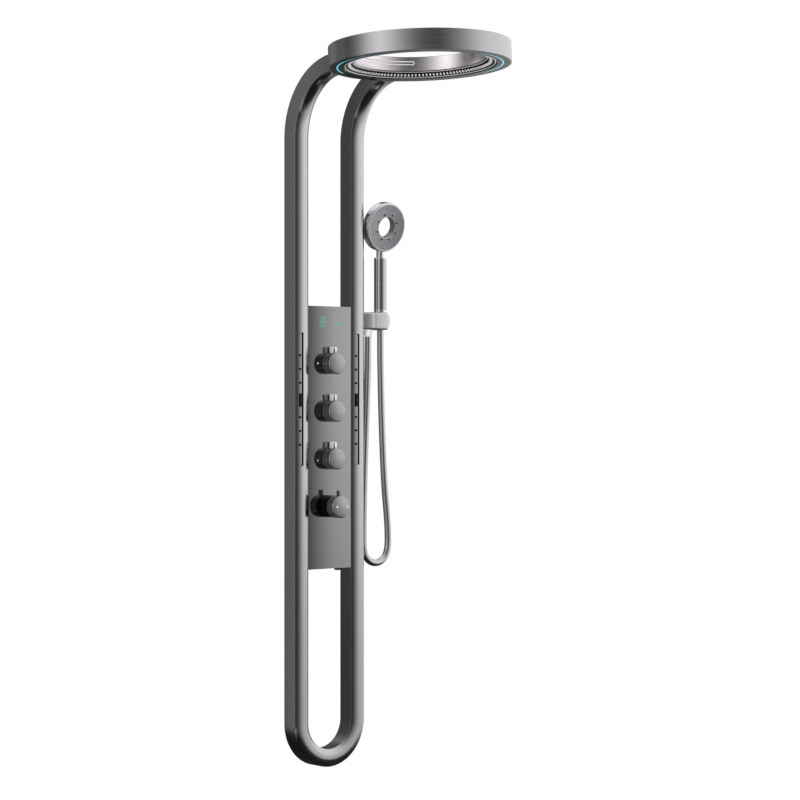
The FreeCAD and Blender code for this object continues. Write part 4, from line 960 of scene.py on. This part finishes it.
edge_steps = [HOLDER_EDGE * (1 - math.cos(turn)) for turn in spread(0.0, math.pi / 2, 6)]
edge_steps += spread(HOLDER_EDGE, NOSE_RISE, 9)[1:-1]
holder_heights = [root_low.z + step for step in edge_steps]
holder_heights += [root_high.z - step for step in reversed(edge_steps)]
for name, outline, node in (("root", root_outline, "base"), ("cradle", cradle_outline, "cradle")):
    piece(f"holder_cast_{name}", capped([outline(height) for height in holder_heights]), satin_cast,
          "column", "gunmetal", f"holder_{node}")

# Hose outlet: a turned elbow end under the holder, with a six-sided nut.
# It has the levers' pale silver lacquer, which shines softly.
OUTLET_NUT = 0.0088
OUTLET_NECK = 0.0074
OUTLET_CHAMFER = 0.0004
NUT_FOOT = 0.0034
NUT_HEAD = 0.0032
NUT_STEP = 0.0002
NUT_CHAMFER = 0.0008
NUT_BLEND = 0.2
HALF_FLAT = math.pi / 6

low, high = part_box("hose_outlet")
outlet_axis = Matrix.Translation(((low.x + high.x) / 2, (low.y + high.y) / 2, 0.0))
nut_low, nut_high = low.z + NUT_FOOT, high.z - NUT_HEAD
rings = []
for height, reach, corner in (
        (low.z, OUTLET_NECK - OUTLET_CHAMFER, 0.0), (low.z + OUTLET_CHAMFER, OUTLET_NECK, 0.0),
        (nut_low, OUTLET_NECK, 0.0), (nut_low + NUT_STEP, OUTLET_NUT - NUT_CHAMFER, NUT_BLEND),
        (nut_low + NUT_STEP + NUT_CHAMFER, OUTLET_NUT, 1.0),
        (nut_high - NUT_STEP - NUT_CHAMFER, OUTLET_NUT, 1.0),
        (nut_high - NUT_STEP, OUTLET_NUT - NUT_CHAMFER, NUT_BLEND), (nut_high, OUTLET_NECK, 0.0),
        (high.z, OUTLET_NECK, 0.0)):
    ring = []
    for turn in circle(72):
        flat = math.cos(HALF_FLAT) / math.cos((turn + HALF_FLAT) % (2 * HALF_FLAT) - HALF_FLAT)
        ring.append(outlet_axis @ polar(reach * (1 + corner * (flat - 1)), turn, height))
    rings.append(ring)
piece("hose_outlet_nut", capped(rings, swap=True), silver_lacquer, "column", "chrome", "hose_outlet",
      sharp=24)

# Hand shower: a plated brass handle between two chrome rings, a chrome neck and a ring-shaped head.
# The head is a polished casting; its spray face is a speckled satin plate with eight black nozzles.
# Bright chrome and the polished casting are clear mirrors with the faintest smudges.
HANDLE_BORE = 0.008
TOP_RING = 0.0046
GRIP_SET = 0.0001
GRIP_EASE = 0.0004
FOOT_RING_EASE = 0.0007
TOP_RING_EASE = 0.0012
SPRAY_RISE = 0.0141
SPRAY_HOLE = 0.022
SPRAY_HALF = 0.010
SPRAY_TILT = math.radians(12)
HOLE_FLARE = 0.0042
HOLE_EASE = 0.0006
BACK_EDGE = 0.0012
RIM_EASES = (0.004, 0.0034)
FACE_IN = 0.0228
FACE_OUT = 0.0478
FACE_LIFT = 0.0003
FACE_ROOT = 0.001
FACE_EASE = 0.0002
FACE_SPECK = 0.0030
FACE_PAINTED_LIGHT = (1.05, 0.55)
HOLE_SHARES = (-0.55, 0.92)
SPRAY_DOTS = 8
DOT_CIRCLE = 0.0273
SPRAY_DOT = (0.0034, 0.0034, 0.0016)
SMUDGE = 0.012

bright_chrome = grained(
    "bright_chrome", "#e8e8ea", "#e2e2e5", (0.04, 0.09), SMUDGE, depth=1e-7, Metallic=1.0)
handle_plating = grained(
    "satin_silver_plating", "#c6c4c7", "#bebcbf", (0.12, 0.16), SATIN_LINE, source="UV",
    stretch=(1.0, 0.012, 1.0), depth=6e-7, Metallic=1.0)
polished_cast = grained(
    "polished_silver_casting", "#dcdcde", "#d4d4d7", (0.12, 0.16), SMUDGE, depth=1e-7, Metallic=1.0)
# The spray plate has painted light and shade: its colour is brighter on its left than on its right.
spray_plate = grained(
    "speckled_spray_plate_painted_light", "#b2b0b3", "#817f86", (0.34, 0.5), FACE_SPECK, depth=4e-5, Metallic=0.6)
plate_tree = spray_plate.node_tree
plate_tone = next(node for node in plate_tree.nodes if node.type == "VALTORGB")
plate_painted_light = fade(plate_tree, "X", (AXIS_X - FACE_OUT, AXIS_X + FACE_OUT), FACE_PAINTED_LIGHT)
plate_shade = add(plate_tree, "ShaderNodeVectorMath", {
    0: plate_tone, "Scale": plate_painted_light}, operation="SCALE")
feed(plate_tree.nodes["Principled BSDF"], {"Base Color": plate_shade})
paint(bright_chrome, "handset_neck", "hose_nut")

handle_axis = Matrix.Translation((AXIS_X, AXIS_Y, 0.0))
handle_radius = (handle_high.x - handle_low.x) / 2
collar_low, collar_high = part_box("handset_collar")
ring_foot = handle_high.z - TOP_RING
for name, inset, low, high, ease, material, slot, nodes in (
        ("foot_ring", 0.0, collar_low.z, collar_high.z, FOOT_RING_EASE, bright_chrome, "chrome",
         ["handset_collar"]),
        ("grip", GRIP_SET, handle_low.z, ring_foot, GRIP_EASE, handle_plating, "gunmetal",
         ["handset_handle"]),
        ("top_ring", 0.0, ring_foot, handle_high.z, TOP_RING_EASE, bright_chrome, "chrome", [])):
    profile = tube_profile(handle_radius - inset, HANDLE_BORE, low, high, (ease, ease))
    piece(f"handset_{name}", turned(profile, handle_axis, closed=True), material, "handset", slot, *nodes)

low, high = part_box("handset_head")
SPRAY_RADIUS = (high.x - low.x) / 2
spray_foot = Vector(((low.x + high.x) / 2, AXIS_Y, handle_high.z + SPRAY_RISE))
spray_mid = spray_foot + Vector((0.0, -math.sin(SPRAY_TILT), math.cos(SPRAY_TILT))) * SPRAY_RADIUS
spray_place = Matrix.Translation(spray_mid) @ Matrix.Rotation(math.pi / 2 + SPRAY_TILT, 4, "X")
face_front = SPRAY_HALF + FACE_LIFT
ring_head = eased([
    (SPRAY_HOLE, SPRAY_HALF, HOLE_EASE), (SPRAY_HOLE, HOLE_FLARE - SPRAY_HALF, BACK_EDGE),
    (SPRAY_HOLE + HOLE_FLARE, -SPRAY_HALF, BACK_EDGE), (SPRAY_RADIUS, -SPRAY_HALF, RIM_EASES[0]),
    (SPRAY_RADIUS, SPRAY_HALF, RIM_EASES[1])], steps=8)
face_plate = eased([
    (FACE_IN, SPRAY_HALF - FACE_ROOT, 0.0), (FACE_OUT, SPRAY_HALF - FACE_ROOT, 0.0),
    (FACE_OUT, face_front, FACE_EASE), (FACE_IN, face_front, FACE_EASE)])
hole_low, hole_high = (SPRAY_HALF * share for share in HOLE_SHARES)
hole_sleeve = tube_profile(
    SPRAY_HOLE - SLEEVE_SKIN, SPRAY_HOLE + SLEEVE_SKIN, hole_low, hole_high, (0.0, 0.0))
for name, profile, material, slot, nodes in (
        ("ring_head", ring_head, polished_cast, "satin_shell", ["handset_head"]),
        ("spray_plate", face_plate, spray_plate, "spray_face", ["handset_face"]),
        ("hole_sleeve", hole_sleeve, spray_plate, "spray_face", [])):
    piece(f"handset_{name}", turned(profile, spray_place, closed=True), material, "handset", slot, *nodes)
dot_turns = [turn + math.pi / SPRAY_DOTS for turn in circle(SPRAY_DOTS)]
studs("handset_nozzle_dots", [polar(DOT_CIRCLE, turn, face_front) for turn in dot_turns], SPRAY_DOT,
      black_rubber, "handset", "black_rubber", turns=[(0.0, 0.0, turn) for turn in dot_turns],
      place=spray_place)

# Hose: one metre of smooth silver hose, hanging in a single loop from outlet to hand shower.
# Clear vinyl over a metallised core: a soft mirror with slight streaks from the extruder.
HOSE_DIAMETER = 0.014
HOSE_SIDES = 28
HOSE_STREAK = 0.0020
RAIL_FACE = RAIL_X + RAIL_HALF
HOSE_ROUTE = (
    (0.0135, -0.0310, 0.2080),
    (0.0135, -0.0310, 0.1460),
    (0.0112, -0.0276, 0.0340),
    (0.0096, -0.0230, -0.1000),
    (0.0098, -0.0204, -0.1900),
    (0.0106, -0.0200, -0.2430),
    (0.0302, -0.0200, -0.2630),
    (0.0582, -0.0202, -0.2634),
    (0.0782, -0.0206, -0.2430),
    (0.0786, -0.0210, -0.1900),
    (0.0670, -0.0220, -0.1000),
    (0.0586, -0.0234, 0.0340),
    (0.0548, -0.0243, 0.1400),
    (0.0540, -0.0245, 0.1860),
    (0.0540, -0.0245, 0.2240),
)

hose_skin = grained(
    "silver_vinyl_hose", "#cccccd", "#c2c2c4", (0.14, 0.19), HOSE_STREAK, source="UV",
    stretch=(0.01, 1.0, 1.0), depth=2e-6, Metallic=1.0)
route = bpy.data.curves.new("hose_route", "CURVE")
route.dimensions = "3D"
route.resolution_u = 24
spline = route.splines.new("NURBS")
spline.points.add(len(HOSE_ROUTE) - 1)
for point, (out, y, z) in zip(spline.points, HOSE_ROUTE):
    point.co = (RAIL_FACE + out, y, z, 1.0)
spline.order_u = 3
spline.use_endpoint_u = True
route_object = bpy.data.objects.new("hose_route", route)
hose_points = [vertex.co.copy() for vertex in bpy.data.meshes.new_from_object(route_object).vertices]
bpy.data.objects.remove(route_object)
rings = []
aside = Vector((0.0, 1.0, 0.0))
for index, point in enumerate(hose_points):
    ahead = hose_points[min(index + 1, len(hose_points) - 1)] - hose_points[max(index - 1, 0)]
    ahead.normalize()
    aside = (aside - ahead * aside.dot(ahead)).normalized()
    above = ahead.cross(aside)
    rings.append([
        point + (aside * math.cos(turn) + above * math.sin(turn)) * HOSE_DIAMETER / 2
        for turn in circle(HOSE_SIDES)])
hose = shaped("hose_tube", capped(rings), hose_skin, sharp=50)
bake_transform(hose)
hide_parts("hose")

# Studio: a pale round floor below the hanging column and a white cloth tent round it, lit from outside.
# The tent is bright at the left and right, dark towards the camera and behind, and dimmer near its foot.
# Two cards show in reflections alone: a dark one over the floor, and a dim one by the left rail.
FLOOR_Z = -1.25
FLOOR_RADIUS = 2.9
FLOOR_GRAIN = 0.03
FLOOR_FADE = (0.9, 2.8)
FLOOR_GLOW = (0.32, 0.90)
TENT_RADIUS = 2.7
TENT_HIGH = 2.8
TENT_FADE = (-0.90, 0.20)
TENT_GLOW = (0.64, 1.0)
TENT_STOPS = (
    (-180, 0.28), (-169, 0.20), (-158, 0.12), (-145, 0.08), (-133, 0.09), (-123, 0.19), (-114, 0.40),
    (-105, 0.73), (-96, 1.05), (-88, 1.32), (-80, 1.16), (-71, 0.92), (-62, 0.62), (-50, 0.31),
    (-38, 0.15), (-20, 0.07), (-12, 0.11), (-4, 0.24), (5, 0.36), (15, 0.57), (24, 0.78), (34, 0.98),
    (45, 1.10), (60, 1.13), (80, 1.17), (97, 1.10), (118, 1.02), (128, 0.45), (138, 0.10), (160, 0.12),
    (170, 0.20), (180, 0.28))
STUDIO_STEPS = 96
CARD_Z = -1.2
CARD_FADE = (1.5, 2.7)
CARD_GLOW = (0.02, 0.60)
CARD_SIDE = (-0.5, 1.5)
CARD_DIM = (0.1, 1.0)
CARD_LEFT = (-1.0, -0.6)
CARD_BACK = (0.5, 0.95)
CARD_PALE = 0.35
SIDE_X = -0.5
SIDE_CARD = (0.34, -1.2, 0.52, 1.2)
SIDE_GLOW = 0.21
FILLS = (
    ("left_fill", (-2.0, -1.6, 1.1), (0.0, -0.1, 0.1), 1.4, 34.0),
    ("low_fill", (-0.9, -1.5, -1.1), (0.0, -0.3, 0.75), 0.9, 23.8))
WORLD_GLOW = (0.6, 1.0)
WHITE = (1.0, 1.0, 1.0, 1.0)
CAMERA_PLACE = (-3.203, -3.784, 0.0766)
CAMERA_TURN = -42.17
CAMERA_LENS = 108.5
CAMERA_SENSOR = 36.0


def staged(name, points, material):
    """Flat plate of the studio, which isn't part of the object."""
    mesh = bpy.data.meshes.new(name)
    mesh.from_pydata(points, [], [range(len(points))])
    mesh.materials.append(material)
    made = linked(name, mesh)
    return made


def shown_rays(tree):
    """One for rays that show the background: from the camera, off metal and through glass."""
    rays = add(tree, "ShaderNodeLightPath")
    seen = add(tree, "ShaderNodeMath", {
        0: rays.outputs["Is Camera Ray"], 1: rays.outputs["Is Glossy Ray"]}, operation="MAXIMUM")
    return add(tree, "ShaderNodeMath", {
        0: seen, 1: rays.outputs["Is Transmission Ray"]}, operation="MAXIMUM")


def glossy_only(made):
    """Let a studio card show in reflections alone."""
    for kind in ("camera", "diffuse", "transmission", "volume_scatter", "shadow"):
        setattr(made, f"visible_{kind}", False)


floor_paint = grained(
    "pale_floor_paint", "#dcdcda", "#d6d6d4", (0.7, 0.8), FLOOR_GRAIN, Emission_Color=WHITE)
floor_tree = floor_paint.node_tree
floor_light = add(floor_tree, "ShaderNodeMath", {
    0: fade(floor_tree, "reach", FLOOR_FADE, FLOOR_GLOW), 1: shown_rays(floor_tree)}, operation="MULTIPLY")
feed(floor_tree.nodes["Principled BSDF"], {"Emission Strength": floor_light})
studio_turns = circle(STUDIO_STEPS)
staged("floor", [polar(FLOOR_RADIUS, turn, FLOOR_Z) for turn in studio_turns], floor_paint)

card_paint, card_tree, card_shader = coat("dark_card", "#000000", Roughness=1.0, Emission_Color=WHITE)
card_light = add(card_tree, "ShaderNodeMath", {
    0: fade(card_tree, "reach", CARD_FADE, CARD_GLOW), 1: fade(card_tree, "X", CARD_SIDE, CARD_DIM)},
    operation="MULTIPLY")
card_corner = add(card_tree, "ShaderNodeMath", {
    0: fade(card_tree, "X", CARD_LEFT, (CARD_PALE, 0.0)), 1: fade(card_tree, "Y", CARD_BACK, (1.0, 0.0))},
    operation="MULTIPLY")
card_shown = add(card_tree, "ShaderNodeMath", {0: card_light, 1: card_corner}, operation="MAXIMUM")
feed(card_shader, {"Emission Strength": card_shown})
glossy_only(staged("dark_card", [polar(TENT_RADIUS, turn, CARD_Z) for turn in studio_turns], card_paint))
side_paint = coat(
    "side_card", "#000000", Roughness=1.0, Emission_Color=WHITE, Emission_Strength=SIDE_GLOW)[0]
glossy_only(staged("side_card", [(SIDE_X, y, z) for y, z in corners(*SIDE_CARD)], side_paint))

tent_cloth = bpy.data.materials.new("lit_tent_cloth")
tent_cloth.use_nodes = True
tent_tree = tent_cloth.node_tree
tent_tree.nodes.remove(tent_tree.nodes["Principled BSDF"])
tent_place = add(tent_tree, "ShaderNodeTexCoord")
tent_axes = add(tent_tree, "ShaderNodeSeparateXYZ", {"Vector": tent_place.outputs["Object"]})
tent_front = add(tent_tree, "ShaderNodeMath", {0: tent_axes.outputs["Y"], 1: -1.0}, operation="MULTIPLY")
tent_angle = add(tent_tree, "ShaderNodeMath", {
    0: tent_axes.outputs["X"], 1: tent_front}, operation="ARCTAN2")
tent_share = add(tent_tree, "ShaderNodeMapRange", {
    "Value": tent_angle, "From Min": -math.pi, "From Max": math.pi})
tent_ramp = add(tent_tree, "ShaderNodeValToRGB", {"Fac": tent_share})
set_stops(tent_ramp, [((angle + 180) / 360, (power, power, power, 1.0)) for angle, power in TENT_STOPS])
tent_glow = add(tent_tree, "ShaderNodeEmission", {
    "Color": tent_ramp,
    "Strength": fade(tent_tree, "Z", TENT_FADE, TENT_GLOW, interpolation_type="SMOOTHSTEP")})
feed(tent_tree.nodes["Material Output"], {"Surface": tent_glow})
tent_shape = bmesh.new()
loft(tent_shape, [
    [polar(TENT_RADIUS, turn, height) for turn in studio_turns] for height in (FLOOR_Z, TENT_HIGH)])
tent = shaped("light_tent", tent_shape, tent_cloth, sharp=180)
tent.visible_camera = False

for name, spot, aim, size, power in FILLS:
    lamp = bpy.data.lights.new(name, "AREA")
    lamp.shape = "DISK"
    lamp.size = size
    lamp.energy = power
    fill = linked(name, lamp)
    fill.location = spot
    fill.rotation_euler = (Vector(aim) - Vector(spot)).to_track_quat("-Z", "Y").to_euler()
    fill.visible_camera = False
    fill.visible_glossy = False

world = bpy.data.worlds.new("studio")
world.use_nodes = True
world_tree = world.node_tree
world_strength = add(world_tree, "ShaderNodeMapRange", {
    "Value": shown_rays(world_tree), "To Min": WORLD_GLOW[0], "To Max": WORLD_GLOW[1]})
feed(world_tree.nodes["Background"], {"Color": WHITE, "Strength": world_strength})
bpy.context.scene.world = world

camera_data = bpy.data.cameras.new("camera")
camera_data.lens = CAMERA_LENS
camera_data.sensor_width = CAMERA_SENSOR
camera = linked("camera", camera_data)
camera.location = CAMERA_PLACE
camera.rotation_euler = (math.radians(90), 0.0, math.radians(CAMERA_TURN))
bpy.context.scene.camera = camera
bpy.context.scene.view_settings.view_transform = "Standard"
